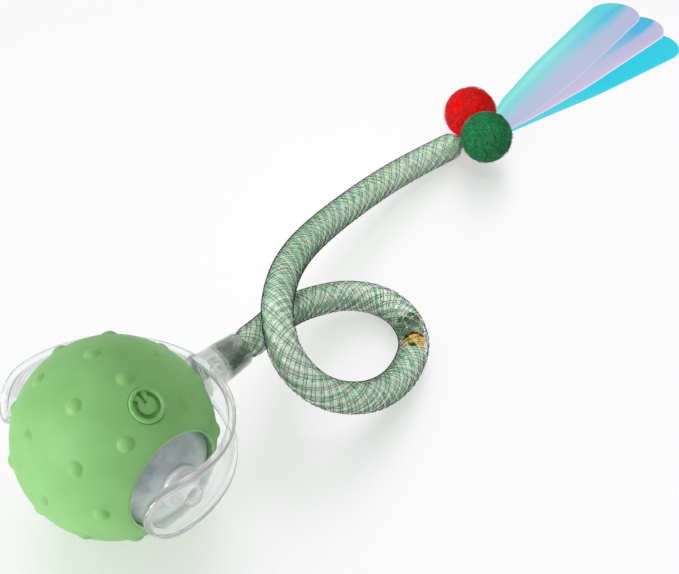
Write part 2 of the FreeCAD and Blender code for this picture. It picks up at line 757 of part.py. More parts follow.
def compound_gear():
    """Large wheel and small pinion on one pin; each has a tooth or a gap where it meshes."""
    wheel = gear_prism(s.wheel_teeth, s.wheel_width, wheel_start,
                       gap_phase(s.wheel_teeth, motor_from_compound()))
    pinion_start = output_start + (s.wheel_width - s.pinion_width) / 2
    pinion = gear_prism(s.pinion_teeth, wheel_start - pinion_start + s.wheel_width / 2,
                        pinion_start, COMPOUND_DIRECTION + 180)
    bore = round_prism(s.gear_pin_radius + s.running_gap, pinion_start - 1,
                       s.wheel_width * 2 + s.pinion_width + 2)
    return place(show("compound_gear", wheel.fuse(pinion).cut(bore)), 0, compound_side, compound_up)


def motor_from_compound():
    """Direction from the compound gear's centre to the motor's."""
    return math.degrees(math.atan2(motor_up.number - compound_up.number, -compound_side.number))


def motor_pinion():
    pinion_start = wheel_start + (s.wheel_width - s.pinion_width) / 2
    pinion = gear_prism(s.pinion_teeth, s.pinion_width, pinion_start, motor_from_compound() + 180)
    bore = round_prism(s.shaft_radius, pinion_start - 1, s.pinion_width + 2)
    return place(show("motor_pinion", pinion.cut(bore)), 0, 0, motor_up)


def motor_shaft():
    start = wheel_start + (s.wheel_width - s.pinion_width) / 2
    length = s.plate_thick + s.motor_length - start
    return place(round_bar("motor_shaft", start, length, s.shaft_radius), 0, 0, motor_up)


def motor_can():
    body = new_body("motor_can")
    rim = s.motor_radius
    start = s.plate_thick
    edge = s.motor_radius / 10
    end = start + s.motor_length
    turn(body, [
        (start - s.plate_thick / 2, s.shaft_radius + s.running_gap),
        (end, s.shaft_radius + s.running_gap),
        (end, rim),
        (start + edge, rim),
        (start, rim - edge, edge, 1),
        (start, s.motor_nose),
        (start - s.plate_thick / 2, s.motor_nose),
    ])
    for side in (-1, 1):
        flat = new_sketch(body, "YZ_Plane", start)
        near, far = side * s.motor_flat, side * (s.motor_radius + s.motor_cap)
        draw_box(flat, min(near, far, key=lambda x: x.number), max(near, far, key=lambda x: x.number),
                 -s.motor_radius * 1.1, s.motor_radius * 1.1)
        pocket(body, flat, s.motor_length, Reversed=True)
    return place(body, 0, 0, motor_up)


def motor_endcap():
    body = new_body("motor_endcap")
    start = s.plate_thick + s.motor_length
    cap = new_sketch(body, "YZ_Plane", start)
    draw_circle(cap, s.motor_flat)
    pad(body, cap, s.motor_cap)
    for side in (-1, 1):
        tab = new_sketch(body, "YZ_Plane", start + s.motor_cap)
        middle = side * s.motor_flat * 0.6
        draw_box(tab, middle - s.shaft_radius, middle + s.shaft_radius, -s.running_gap * 3,
                 s.running_gap * 3)
        pad(body, tab, s.motor_cap * 0.6)
    return place(body, 0, 0, motor_up)


def weight_axle():
    start = -(s.axle_boss_end + s.axle_depth - s.running_gap)
    length = s.plate_thick + s.axle_depth / 2 - start
    return place(round_bar("weight_axle", start, length, s.axle_radius))


def gear_pin():
    start = output_start + (s.wheel_width - s.pinion_width) / 2
    bar = round_bar("gear_pin", start, s.plate_thick - start, s.gear_pin_radius)
    return place(bar, 0, compound_side, compound_up)


def swing_weight():
    """Half disc that hangs below the axle."""
    body = new_body("swing_weight")
    disc = new_sketch(body, "YZ_Plane", weight_start - s.weight_thick)
    radius, hub = s.weight_radius, s.weight_hub
    drop = hub / 2
    reach = root(square(radius) - square(drop))
    draw(disc, [
        (hub, 0),
        (0, hub, hub, 1),
        (-hub, 0, hub, 1),
        (-hub, -drop),
        (-reach, -drop),
        (0, -radius, radius, 1),
        (reach, -drop, radius, 1),
        (hub, -drop),
    ])
    pad(body, disc, s.weight_thick)
    bore = new_sketch(body, "YZ_Plane")
    draw_circle(bore, s.axle_radius + s.running_gap)
    pocket(body, bore, Midplane=True)
    return place(body)


def battery_cell():
    """Round cell that lies across the ball's axis, with a crimp groove and a raised pole."""
    body = new_body("battery_cell")
    half, rim = s.cell_length / 2, s.cell_radius
    edge = rim / 10
    groove = half - rim / 3
    turn(body, [
        (0, -half),
        (rim - edge, -half),
        (rim, -half + edge, edge, 1),
        (rim, groove - edge),
        (rim - edge, groove, edge, -1),
        (rim, groove + edge, edge, -1),
        (rim, half - edge),
        (rim - edge, half, edge, 1),
        (rim / 2, half),
        (rim / 2, half + edge),
        (0, half + edge),
    ], axis="Z_Axis")
    body.Placement = Placement(Vector(), Rotation(Vector(1, 0, 0), 90))
    return place(body, s.cell_along, 0, s.cell_up)


def board_box(label, x, y, low, length, width, height):
    """A box on the circuit board: x runs to the pole, low is its distance from the centre."""
    body = new_body(label)
    sketch = new_sketch(body, "XY_Plane", low)
    draw_box(sketch, x - length / 2, x + length / 2, y - width / 2, y + width / 2)
    pad(body, sketch, height)
    return body


def circuit_board():
    low = s.board_face - s.board_thick
    body = board_box("circuit_board", as_size(0), as_size(0), low, s.board_length,
                     s.board_width, s.board_thick)
    for side in (-1, 1):
        hole = new_sketch(body, "XY_Plane", s.board_face)
        draw_circle(hole, s.post_screw + s.running_gap, -s.post_shift, side * s.post_spread)
        pocket(body, hole, s.board_thick)
    return face_key(body)


def tact_switch():
    body = board_box("tact_switch", as_size(0), as_size(0), s.board_face, s.switch_side,
                     s.switch_side, s.switch_height)
    hole = new_sketch(body, "XY_Plane", s.board_face + s.switch_height)
    draw_circle(hole, s.plunger_radius + s.key_gap)
    pocket(body, hole, s.switch_height / 2)
    return face_key(body)


def switch_plunger():
    body = new_body("switch_plunger")
    sketch = new_sketch(body, "XY_Plane", s.board_face + s.switch_height * 0.75)
    draw_circle(sketch, s.plunger_radius)
    pad(body, sketch, s.switch_height / 4 + s.plunger_rise)
    return face_key(body)


def controller_chip():
    low = s.board_face - s.board_thick - s.chip_height
    return face_key(board_box("controller_chip", s.chip_side / 2, as_size(0), low, s.chip_side,
                              s.chip_side, s.chip_height))


def status_led():
    return face_key(board_box("status_led", s.post_shift, as_size(0), s.board_face,
                              s.chip_side / 3, s.chip_side / 2, s.chip_height * 0.8))


def board_screws():
    """Two small screws that hold the circuit board on the shell's posts."""
    head = s.post_screw * 1.8
    start = s.board_face - s.board_thick - s.post_screw
    screws = []
    for side in (-1, 1):
        parts = []
        for radius, begin, length in (
            (head, start, s.post_screw),
            (s.post_screw, start, s.post_screw + s.board_thick - s.running_gap),
        ):
            bar = doc.addObject("Part::Cylinder", "ScrewPart")
            bind(bar, "Radius", radius)
            bind(bar, "Height", length)
            bind(bar, "Placement.Base.x", -s.post_shift)
            bind(bar, "Placement.Base.y", side * s.post_spread)
            bind(bar, "Placement.Base.z", begin)
            parts.append(bar)
        screw = doc.addObject("Part::MultiFuse", "Screw")
        screw.Shapes = parts
        screws.append(screw)
    group = doc.addObject("Part::Compound", "board_screws")
    group.Label = "board_screws"
    group.Links = screws
    return face_key(group)


def usb_port():
    body = new_body("usb_port")
    start = s.port_front - s.port_length
    outside = new_sketch(body, "YZ_Plane", start)
    port_outline(outside, s.port_width / 2, s.port_height / 2)
    pad(body, outside, s.port_length)
    mouth = new_sketch(body, "YZ_Plane", s.port_front)
    port_outline(mouth, s.port_width / 2 - s.port_wall, s.port_height / 2 - s.port_wall)
    pocket(body, mouth, s.port_length - 3 * s.port_wall)
    tongue = new_sketch(body, "YZ_Plane", start)
    port_bar(tongue, s.port_width / 2 - s.port_height / 2, s.port_wall, as_size(0))
    pad(body, tongue, s.port_length - 2 * s.port_wall)
    return place(body)


def port_bar(sketch, half_width, half_height, outward):
    """Rectangle that lies across the port's radius."""
    out, across = PORT_DIRECTION, PORT_DIRECTION + 90

    def at(along, away):
        distance = s.port_out + outward + away
        return (distance * cosine(out) + along * cosine(across),
                distance * sine(out) + along * sine(across))

    draw(sketch, [at(half_width, -half_height), at(half_width, half_height),
                  at(-half_width, half_height), at(-half_width, -half_height)])


def port_board():
    body = new_body("port_board")
    start = s.port_front - s.port_length + s.port_board_back
    sketch = new_sketch(body, "YZ_Plane", start)
    thick = s.port_board_thick
    half_width = s.port_width / 2 - s.port_board_thick / 2
    port_bar(sketch, half_width, thick / 2, -(s.port_height + thick) / 2)
    pad(body, sketch, s.port_length * 0.66)
    return place(body)


def tapered_slot(sketch, trim):
    """Leaf of the yoke seen from the side: two round ends joined by their tangents."""
    big, small = s.leaf_radius - trim, s.neck_radius - trim
    back, front = -s.leaf_centre, yoke_outer
    span = front - back
    lean = (big - small) / span
    rise = root(1 - square(lean))
    corners = [
        (back + big * lean, big * rise),
        (front + small * lean, small * rise),
    ]
    (back_y, back_z), (front_y, front_z) = corners
    draw(sketch, [
        (front_y, -front_z),
        (front + small, 0, small, 1),
        (front_y, front_z, small, 1),
        (back_y, back_z),
        (back - big, 0, big, 1),
        (back_y, -back_z, big, 1),
    ])


def ring_part(inside, outside):
    """Plain ring about Z, as high as the yoke's leaf."""
    pair = []
    for radius in (outside, inside):
        drum = doc.addObject("Part::Cylinder", "Drum")
        bind(drum, "Radius", radius)
        bind(drum, "Height", 4 * s.leaf_radius)
        bind(drum, "Placement.Base.z", -2 * s.leaf_radius)
        pair.append(drum)
    return cut(*pair)


def cut(base, tool):
    thing = doc.addObject("Part::Cut", "Cut")
    thing.Base, thing.Tool = base, tool
    return thing


def common(first, second):
    thing = doc.addObject("Part::MultiCommon", "Common")
    thing.Shapes = [first, second]
    return thing


def fuse(parts):
    thing = doc.addObject("Part::MultiFuse", "Fuse")
    thing.Shapes = parts
    return thing


def leaf_block(trim):
    """The leaf's outline as a block across the whole yoke."""
    sketch = doc.addObject("Sketcher::SketchObject", "LeafOutline")
    sketch.Placement = Placement(Vector(), Rotation(Vector(1, 1, 1), 120))
    tapered_slot(sketch, trim)
    block = doc.addObject("Part::Extrusion", "LeafBlock")
    block.Base = sketch
    block.DirMode = "Normal"
    block.Solid = True
    block.Symmetric = True
    bind(block, "LengthFwd", 4 * yoke_outer)
    return block


def bar_along(axis, radius, start, length, end_radius=None):
    """Round bar or cone along +X, -X or +Y, from a distance to the ball's axis or centre."""
    kind = "Part::Cylinder" if end_radius is None else "Part::Cone"
    bar = doc.addObject(kind, "Bar")
    if end_radius is None:
        bind(bar, "Radius", radius)
    else:
        bind(bar, "Radius1", radius)
        bind(bar, "Radius2", end_radius)
    bind(bar, "Height", length)
    bar.Placement = Placement(Vector(), Rotation(Vector(0, 0, 1), axis))
    name = "x" if axis.x else "y"
    sign = axis.x or axis.y
    bind(bar, f"Placement.Base.{name}", sign * as_size(start))
    return bar


def yoke_frame():
    """C-shaped band with raised rims, a pin boss at each leaf and the tail socket."""
    plain = common(ring_part(s.yoke_inner, yoke_outer), leaf_block(as_size(0)))
    web_outside = s.yoke_inner + s.yoke_web
    channel = common(ring_part(web_outside, yoke_outer + s.rim_width), leaf_block(s.rim_width))
    band = cut(plain, channel)
    parts = [band]
    boss_start = disc_face + s.boss_gap
    pin_start = s.pin_socket_end + s.pin_end_gap
    for way in (Vector(1, 0, 0), Vector(-1, 0, 0)):
        parts.append(bar_along(way, s.yoke_boss_radius, boss_start,
                               yoke_outer - s.yoke_web / 4 - boss_start))
        parts.append(bar_along(way, s.pin_radius, pin_start, s.yoke_inner - pin_start))
    ahead = Vector(0, 1, 0)
    root_start = s.yoke_inner + s.yoke_web / 5
    parts.append(bar_along(ahead, s.socket_root, root_start, s.socket_reach - root_start,
                           s.socket_mouth))
    bore = bar_along(ahead, s.tube_neck + s.tube_fit, s.socket_bottom,
                     s.socket_reach - s.socket_bottom + 1)
    yoke = cut(fuse(parts), bore)
    yoke.Label = "yoke_frame"
    return place(yoke)


def beyond_socket(place):
    """A place of the tail, as far ahead of the socket as it was drawn."""
    return (place[0], place[1] + s.socket_bottom.number - DRAWN_START[1], *place[2:])


def tail_points():
    """The tail's centre line: straight out of the socket, then the chosen points."""
    first = Vector(0, s.socket_bottom.number, ball_height.number)
    second = first + Vector(0, FIRST_RUN, 0)
    floor = s.tube_radius.number
    rise = (ball_height.number - floor) / (DRAWN_START[2] - floor)
    chosen = [Vector(x, y, floor + (z - floor) * rise) for x, y, z in map(beyond_socket, TAIL_POINTS)]
    return [first, second] + chosen


def tail_edges(points):
    """Straight runs joined by tangent arcs, with the arcs' radii."""
    edges, radii, last = [], [], points[0]
    for before, here, after in zip(points, points[1:], points[2:]):
        back, ahead = before - here, after - here
        trim = 0.45 * min(back.Length, ahead.Length)
        half_turn = (math.pi - back.getAngle(ahead)) / 2
        radii.append(trim / math.tan(half_turn))
        start = here + back.normalize() * trim
        end = here + ahead.normalize() * trim
        inward = (back + ahead).normalize()
        depth = math.hypot(radii[-1], trim) - radii[-1]
        edges.append(Part.LineSegment(last, start))
        edges.append(Part.Arc(start, here + inward * depth, end))
        last = end
    edges.append(Part.LineSegment(last, points[-1]))
    return edges, radii


def stretch(edges, start, end):
    """The part of the centre line between two distances along it."""
    kept, walked = [], 0
    for edge in edges:
        length = edge.length()
        low, high = max(start - walked, 0), min(end - walked, length)
        if high - low > 1e-6:
            first, last = edge.FirstParameter, edge.LastParameter
            scale = (last - first) / length
            kept.append(edge.toShape(first + low * scale, first + high * scale))
        walked += length
    return Part.Wire(kept)


def along_route(edges, distance):
    """Point and direction at a distance along the centre line."""
    for edge in edges:
        if distance <= edge.length() + 1e-9:
            at = edge.parameterAtDistance(distance, edge.FirstParameter)
            return edge.value(at), Vector(*edge.tangent(at)[0])
        distance -= edge.length()
    raise ValueError("past the end of the tail")


def round_sweep(wire, radius):
    """Round bar along a wire."""
    first = wire.OrderedEdges[0]
    at = first.FirstParameter
    circle = Part.Circle(first.valueAt(at), first.tangentAt(at), radius)
    return wire.makePipeShell([Part.Wire(circle.toShape())], True, False)


def tube_body(edges, length, neck, full, last):
    """Outside or inside of the mesh tube: slim in the socket, full on the floor, gathered last."""
    neck_length = s.socket_reach.number - s.socket_bottom.number + 1
    swell = 3
    start, forward = along_route(edges, 0)
    slim = Part.makeCylinder(neck, neck_length, start, forward)
    flare = Part.makeCone(neck, full, swell, start + forward * neck_length, forward)
    gather = s.gather_length.number
    middle = round_sweep(stretch(edges, neck_length + swell, length - gather), full)
    end, way = along_route(edges, length)
    close = Part.makeCone(full, last, gather, end - way * gather, way)
    return slim.fuse([flare, middle, close])


def mesh_tube(edges, length):
    wall = s.tube_wall.number
    neck, full, end = s.tube_neck.number, s.tube_radius.number, s.gather_radius.number
    outside = tube_body(edges, length, neck, full, end)
    inside = tube_body(edges, length, neck - wall, full - wall, end - wall)
    tube = outside.cut(inside)
    print("tube volume", round(tube.Volume, 1), "and section times length",
          round(math.pi * (full**2 - (full - wall) ** 2) * length, 1))
    return show("mesh_tube", tube)


def crimp_ring(edges):
    start, forward = along_route(edges, 0.4)
    outside = s.tube_neck.number - s.tube_wall.number - s.tube_fit.number
    length = s.crimp_length.number
    ring = Part.makeCylinder(outside, length, start, forward)
    inside = s.tinsel_radius.number + s.tube_fit.number
    hole = Part.makeCylinder(inside, length, start, forward)
    return show("crimp_ring", ring.cut(hole))


def tinsel(edges, length, bell_at):
    """Tinsel before and after the bell."""
    radius = s.tinsel_radius.number
    room = s.bell_radius.number + radius / 2
    start, end = s.crimp_length.number / 2, length - 1.2
    show("tinsel_front", round_sweep(stretch(edges, start, bell_at - room), radius))
    show("tinsel_rear", round_sweep(stretch(edges, bell_at + room, end), radius))


def jingle_bell(edges, bell_at):
    """Hollow ball with a slot that ends in two round holes, and its pellet."""
    place_on_line, way = along_route(edges, bell_at)
    radius, wall = s.bell_radius.number, s.bell_wall.number
    slack = s.tube_radius.number - s.tube_wall.number - radius - s.tube_fit.number
    centre = place_on_line - Vector(0, 0, slack)
    bell = Part.makeSphere(radius, centre).cut(Part.makeSphere(radius - wall, centre))
    width = s.bell_slot.number
    across = way.cross(Vector(0, 0, 1)).normalize()
    corner = centre - across * radius - way * width / 2
    slot = Part.makeBox(2 * radius, width, radius, Vector())
    slot.Placement = Placement(corner, Rotation(across, way, across.cross(way), "XYZ"))
    bell = bell.cut(slot)
    for side in (-1, 1):
        base = centre + across * side * radius * 0.55
        bell = bell.cut(Part.makeCylinder(width * 0.9, radius, base, Vector(0, 0, 1)))
    show("bell_shell", bell)
    pellet = s.pellet_radius.number
    low = centre - Vector(0, 0, radius - wall - pellet - s.tube_fit.number)
    show("bell_pellet", Part.makeSphere(pellet, low))


def tail_tie(edges, length):
    """Whipping from the gathered mesh down to the film strips."""
    end, way = along_route(edges, length)
    start = end + way * 0.6
    reach = Vector(*beyond_socket(TIE_END)) - start
    return show("tail_tie", Part.makeCylinder(s.tie_radius.number, reach.Length, start, reach))


def felt_ball(label, radius, where, rise=0):
    ball = doc.addObject("Part::Sphere", label)
    ball.Label = label
    bind(ball, "Radius", radius)
    ball.Placement = Placement(Vector(*where, 0), Rotation())
    bind(ball, "Placement.Base.z", radius + rise)
    return ball


def film_strip(label, turned, reach, width, layer):
    """Flat petal with a stem under the felt balls and a round tip; width is that of its shoulder."""
    body = new_body(label)
    sketch = new_sketch(body, "XY_Plane")
    stem, shoulder, half = s.film_stem / 2, width / 2, s.film_width / 2
    belly = half * 0.55 + shoulder * 0.57
    right_side = [(stem, FILM_STEM), (shoulder, FILM_SHOULDER), (belly, FILM_BELLY)]
    left_side = [(-across, along) for across, along in reversed(right_side)]
    tip = [(half, reach - half.number), (0, reach, half, 1), (-half, reach - half.number, half, 1)]
    steps = right_side + tip + left_side + [(-stem, -4.6), (stem, -4.6)]
    draw(sketch, steps)
    pad(body, sketch, s.film_thick)
    body.Placement = Placement(Vector(*beyond_socket(FILM_MEET), 0), Rotation(Vector(0, 0, 1), turned))
    bind(body, "Placement.Base.z", s.film_thick + s.film_layer * layer)
    return body


def build_ball():
    silicone_sleeve()
    power_button()
    shell_right()
    shell_left()
    hub_disc("hub_disc_right", 1)
    hub_disc("hub_disc_left", -1)
    chassis_plate()
    shell_screws()
    weight_axle()
    gear_pin()
    swing_weight()
    output_gear()
    compound_gear()
    motor_pinion()
    motor_shaft()
    motor_can()
    motor_endcap()
    battery_cell()
    circuit_board()
    board_screws()
    tact_switch()
    switch_plunger()
    controller_chip()
    status_led()
    usb_port()
    port_board()


def build_tail():
    points = tail_points()
    edges, radii = tail_edges(points)
    length = sum(edge.length() for edge in edges)
    print("tail length", round(length, 1), "radii", [round(r, 1) for r in radii])
    bell_at = length * BELL_SHARE
    mesh_tube(edges, length)
    crimp_ring(edges)
    tinsel(edges, length, bell_at)
    jingle_bell(edges, bell_at)
    tail_tie(edges, length)
    felt_ball("felt_ball_red", s.red_ball_radius, beyond_socket(RED_BALL))
    felt_ball("felt_ball_green", s.green_ball_radius, beyond_socket(GREEN_BALL), s.green_ball_rise)
    for layer, (label, (turned, reach, width)) in enumerate(FILM_STRIPS.items()):
        film_strip(label, turned, reach, width, layer)


def sub_parts():
    """The objects that are sub-parts: what no other object uses."""
    kinds = ("PartDesign::Body", "Part::")
    found = []
    for thing in doc.Objects:
        users = [user for user in thing.InList if not user.isDerivedFrom("PartDesign::Feature")]
        if thing.TypeId.startswith(kinds) and not users:
            found.append(thing)
    return found


def write():
    failed = [o.Name for o in doc.Objects if {"Invalid", "Error"} & set(o.State)]
    if failed:
        raise RuntimeError(f"failed: {failed}")
    parts = sub_parts()
    for part in parts:
        if part.Shape.isNull() or not part.Shape.isValid():
            raise RuntimeError(f"{part.Label} has no valid shape")
    os.makedirs("parts", exist_ok=True)
    for part in parts:
        part.Shape.exportStep(os.path.join("parts", part.Label + ".step"))
        print(part.Label, len(part.Shape.Solids), round(part.Shape.Volume, 2))
    print(len(parts), "sub-parts")


build_ball()
yoke_frame()
build_tail()
doc.recompute()
write()
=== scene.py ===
# %% [markdown]
# # A self-rolling cat ball with a mesh tail
# A hollow ball in a bumpy silicone skin turns in a clear plastic yoke, and pulls a soft mesh tail
# with tinsel, a jingle bell, two felt balls and three shiny film petals. The imported model gives every
# size and place. Blender adds what the eye sees: rounded edges, braid, fibres, film and light.
# The first step loads that model. Nothing here may grow out of it.

import json
import math

import bmesh
import bpy
import numpy as np
from mathutils import Matrix, Vector
from mathutils.noise import noise as noise_at


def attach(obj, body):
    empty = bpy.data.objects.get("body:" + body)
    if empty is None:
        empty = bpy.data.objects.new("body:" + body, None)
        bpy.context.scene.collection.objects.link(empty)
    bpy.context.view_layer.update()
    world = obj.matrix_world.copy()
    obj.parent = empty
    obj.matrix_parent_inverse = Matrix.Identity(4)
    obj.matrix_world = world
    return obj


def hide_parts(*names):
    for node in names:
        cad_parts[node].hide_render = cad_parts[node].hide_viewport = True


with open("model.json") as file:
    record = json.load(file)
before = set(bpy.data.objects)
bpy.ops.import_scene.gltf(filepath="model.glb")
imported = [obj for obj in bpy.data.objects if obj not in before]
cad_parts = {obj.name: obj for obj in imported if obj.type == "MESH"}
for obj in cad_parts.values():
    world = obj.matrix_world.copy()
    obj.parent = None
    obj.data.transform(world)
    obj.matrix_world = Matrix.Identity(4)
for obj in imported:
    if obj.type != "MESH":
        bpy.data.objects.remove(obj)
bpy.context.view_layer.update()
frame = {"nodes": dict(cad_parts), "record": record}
NODES = frame["nodes"]
MM = 0.001

# %% [markdown]
# ## The camera
# The photograph looks down on the toy from the front left, with a little perspective. The camera's
# place and angles were found by laying known points of the model over the photograph. A camera needs
# a place, a direction and a lens; building its axes by hand keeps the horizon level.

# %% Camera
TURN, DOWN = math.radians(42.8), math.radians(40.5)
across = Vector((math.cos(TURN), math.sin(TURN), 0))
level = Vector((-math.sin(TURN), math.cos(TURN), 0))
forward = level * math.cos(DOWN) - Vector((0, 0, math.sin(DOWN)))
camera_up = level * math.sin(DOWN) + Vector((0, 0, math.cos(DOWN)))
camera = bpy.data.objects.new("camera", bpy.data.cameras.new("camera"))
camera.data.lens = 88.06
camera.data.sensor_width = 36
camera.data.clip_start, camera.data.clip_end = 0.01, 50
axes = Matrix((across, camera_up, -forward)).transposed().to_4x4()
camera.matrix_world = Matrix.Translation((0.21621, -0.15851, 0.29291)) @ axes
bpy.context.scene.collection.objects.link(camera)
bpy.context.scene.camera = camera
bpy.context.scene.view_settings.view_transform = "Standard"
print("camera looks along", [round(x, 3) for x in forward])

# %% [markdown]
# ## Helpers for meshes
# Most pieces here are grids of points: a ring of points repeated along something. One helper joins
# such a grid with four-sided faces and another turns points in millimetres into a piece that rides
# on a body of the model. Everything after this only has to say where its points are.

# %% Mesh helpers
def grid_faces(rows, columns, wrap_rows=False, wrap_columns=False, first=0):
    """Four-sided faces of a grid of points that are numbered row by row."""
    row = np.arange(rows if wrap_rows else rows - 1)[:, None]
    column = np.arange(columns if wrap_columns else columns - 1)[None, :]
    next_row, next_column = (row + 1) % rows, (column + 1) % columns
    corners = (row * columns + column, row * columns + next_column,
               next_row * columns + next_column, next_row * columns + column)
    return (np.stack(np.broadcast_arrays(*corners), axis=-1) + first).reshape(-1, 4)


def new_piece(name, points, faces, body="yoke", outward=False):
    """A smooth mesh piece, from points in millimetres, that rides on a body."""
    mesh = bpy.data.meshes.new(name)
    faces = faces.tolist() if hasattr(faces, "tolist") else faces
    mesh.from_pydata((np.asarray(points, float).reshape(-1, 3) * MM).tolist(), [], faces)
    if outward:
        shape = bmesh.new()
        shape.from_mesh(mesh)
        bmesh.ops.recalc_face_normals(shape, faces=shape.faces)
        shape.to_mesh(mesh)
        shape.free()
    mesh.polygons.foreach_set("use_smooth", np.ones(len(mesh.polygons), bool))
    piece = bpy.data.objects.new(name, mesh)
    bpy.context.scene.collection.objects.link(piece)
    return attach(piece, body)


def smooth_step(value, low, high):
    """0 below low, 1 above high and a soft ramp between them."""
    share = np.clip((value - low) / (high - low), 0, 1)
    return share * share * (3 - 2 * share)


def unit(vectors):
    """The same directions, each with length 1."""
    return vectors / np.linalg.norm(vectors, axis=-1, keepdims=True)


print("helpers: grid_faces, new_piece, smooth_step, unit")

# %% [markdown]
# ## Helpers for finishes
# A finish is a shader with a few nodes in front of it. Real plastic, rubber and felt are never one
# flat colour, so most finishes let a noise wander between two tones and use finer noise as bump.
# Colours are written as they look on a screen, 0 to 255, and turned into the linear values that a
# renderer works with.

# %% Finish helpers
def colour(red, green, blue):
    """A colour as seen on a screen, as linear values."""
    parts = [x / 255 for x in (red, green, blue)]
    return [x / 12.92 if x < 0.04045 else ((x + 0.055) / 1.055) ** 2.4 for x in parts] + [1]


def new_finish(name, **sockets):
    """A material; its keywords are the shader's sockets, with _ for a space."""
    finish = bpy.data.materials.new(name)
    finish.use_nodes = True
    for socket, value in sockets.items():
        shader_of(finish).inputs[socket.replace("_", " ")].default_value = value
    return finish


def shader_of(finish):
    return finish.node_tree.nodes["Principled BSDF"]


def add_node(finish, kind, inputs=None, **settings):
    made = finish.node_tree.nodes.new("ShaderNode" + kind)
    for name, value in settings.items():
        setattr(made, name, value)
    for name, value in (inputs or {}).items():
        made.inputs[name].default_value = value
    return made


def join(finish, output, target):
    finish.node_tree.links.new(output, target)


def noise(finish, size, detail=3.0, stretch=(1, 1, 1)):
    """Noise whose grains are about size millimetres wide, fixed to the piece."""
    place = add_node(finish, "TexCoord")
    scaled = add_node(finish, "Mapping", {"Scale": stretch})
    grains = add_node(finish, "TexNoise", {"Scale": 1 / (size * MM), "Detail": detail})
    join(finish, place.outputs["Object"], scaled.inputs["Vector"])
    join(finish, scaled.outputs["Vector"], grains.inputs["Vector"])
    return grains.outputs["Fac"]


def ramp(finish, value, stops):
    """Colours along a value: stops are pairs of place and colour."""
    made = add_node(finish, "ValToRGB")
    first, last = made.color_ramp.elements
    (first.position, first.color), (last.position, last.color) = stops[0], stops[-1]
    for place, tone in stops[1:-1]:
        made.color_ramp.elements.new(place).color = tone
    join(finish, value, made.inputs["Fac"])
    return made.outputs["Color"]


def bump(finish, value, height, strength=1.0):
    """Lets a value push the surface in and out by height millimetres."""
    made = add_node(finish, "Bump", {"Strength": strength, "Distance": height * MM})
    join(finish, value, made.inputs["Height"])
    join(finish, made.outputs["Normal"], shader_of(finish).inputs["Normal"])
    return made


def speckled(name, size, detail, stops, stretch=(1, 1, 1), **sockets):
    """A finish that wanders through the colours of its stops, by noise of that grain."""
    finish = new_finish(name, **sockets)
    tone = ramp(finish, noise(finish, size, detail, stretch), stops)
    join(finish, tone, shader_of(finish).inputs["Base Color"])
    return finish


def mottled(name, dark, light, size, bump_height=0.0, stretch=(1, 1, 1), **sockets):
    """A finish that wanders between two tones, with bump of a third of that grain."""
    finish = speckled(name, size, 4, [(0.3, dark), (0.7, light)], stretch, **sockets)
    if bump_height:
        bump(finish, noise(finish, size / 3, 3, stretch), bump_height)
    return finish


def dress(piece, finish):
    """Gives a piece its finish."""
    piece.data.materials.clear()
    piece.data.materials.append(finish)
    return piece


print("finish helpers ready")

# %% [markdown]
# ## The tail's route
# The tail is a soft mesh tube of fixed length. It leaves the socket level, sinks to the floor, makes
# one loop, passes over its own first stretch and runs out flat to the felt balls. One smooth curve
# drawn by a few given control points keeps every bend even. The curve itself isn't shown: the
# braid, the tapes, the film and the tinsel all read their places from it.

# %% Route of the tail
ROUTE = [
    (0, 33.8, 23.6), (0, 46.0, 23.6), (-4.6, 56.4, 19.2), (-8.7, 67.3, 13.8), (-9.8, 78.0, 9.2),
    (-8.4, 86.6, 6.2), (-2.9, 92.4, 4.6), (5.6, 93.2, 4.1), (14.9, 88.0, 4.1), (20.8, 78.8, 4.8),
    (24.3, 67.8, 6.8), (24.9, 56.2, 11.4), (20.9, 46.0, 17.9), (13.3, 42.3, 26.4),
    (4.7, 47.9, 30.9), (-3.0, 56.4, 29.3), (-10.3, 66.5, 26.4), (-16.8, 78.2, 22.5),
    (-22.2, 90.9, 18.1), (-26.7, 104.5, 14.0), (-30.3, 118.4, 10.4), (-32.9, 132.8, 7.3),
    (-33.9, 147.3, 4.9), (-32.4, 163.6, 4.1),
]
route_curve = bpy.data.curves.new("tail_route", "CURVE")
route_curve.dimensions = "3D"
spline = route_curve.splines.new("NURBS")
spline.points.add(len(ROUTE) - 1)
for point, place in zip(spline.points, ROUTE):
    point.co = (*(x * MM for x in place), 1)
spline.order_u = 3
spline.use_endpoint_u = True
spline.resolution_u = 32
route_mesh = bpy.data.meshes.new_from_object(bpy.data.objects.new("tail_route", route_curve))
route = np.array([vertex.co for vertex in route_mesh.vertices]) / MM

STEP = 0.5
walked = np.concatenate([[0], np.cumsum(np.linalg.norm(np.diff(route, axis=0), axis=1))])
TAIL_LENGTH = walked[-1]
along = np.linspace(0, TAIL_LENGTH, int(TAIL_LENGTH / STEP) + 1)
line = np.stack([np.interp(along, walked, route[:, axis]) for axis in range(3)], axis=1)
print("tail length", round(TAIL_LENGTH, 1), "mm, points", len(line))

# %% [markdown]
# To wind wires round the route, each point needs two directions square to it. They are carried from
# point to point with the least turning, so that nothing twists by itself.

# %% Directions along the route
heading = unit(np.gradient(line, axis=0))
upward = np.zeros_like(line)
upward[0] = (0, 0, 1)
for index in range(1, len(line)):
    carried = upward[index - 1] - heading[index] * (upward[index - 1] @ heading[index])
    upward[index] = carried / np.linalg.norm(carried)
sideways = np.cross(heading, upward)


def around(angle, radius):
    """Points at an angle and radius round every point of the route."""
    angle = np.asarray(angle)[..., None]
    return line + np.asarray(radius)[..., None] * (np.cos(angle) * upward + np.sin(angle) * sideways)


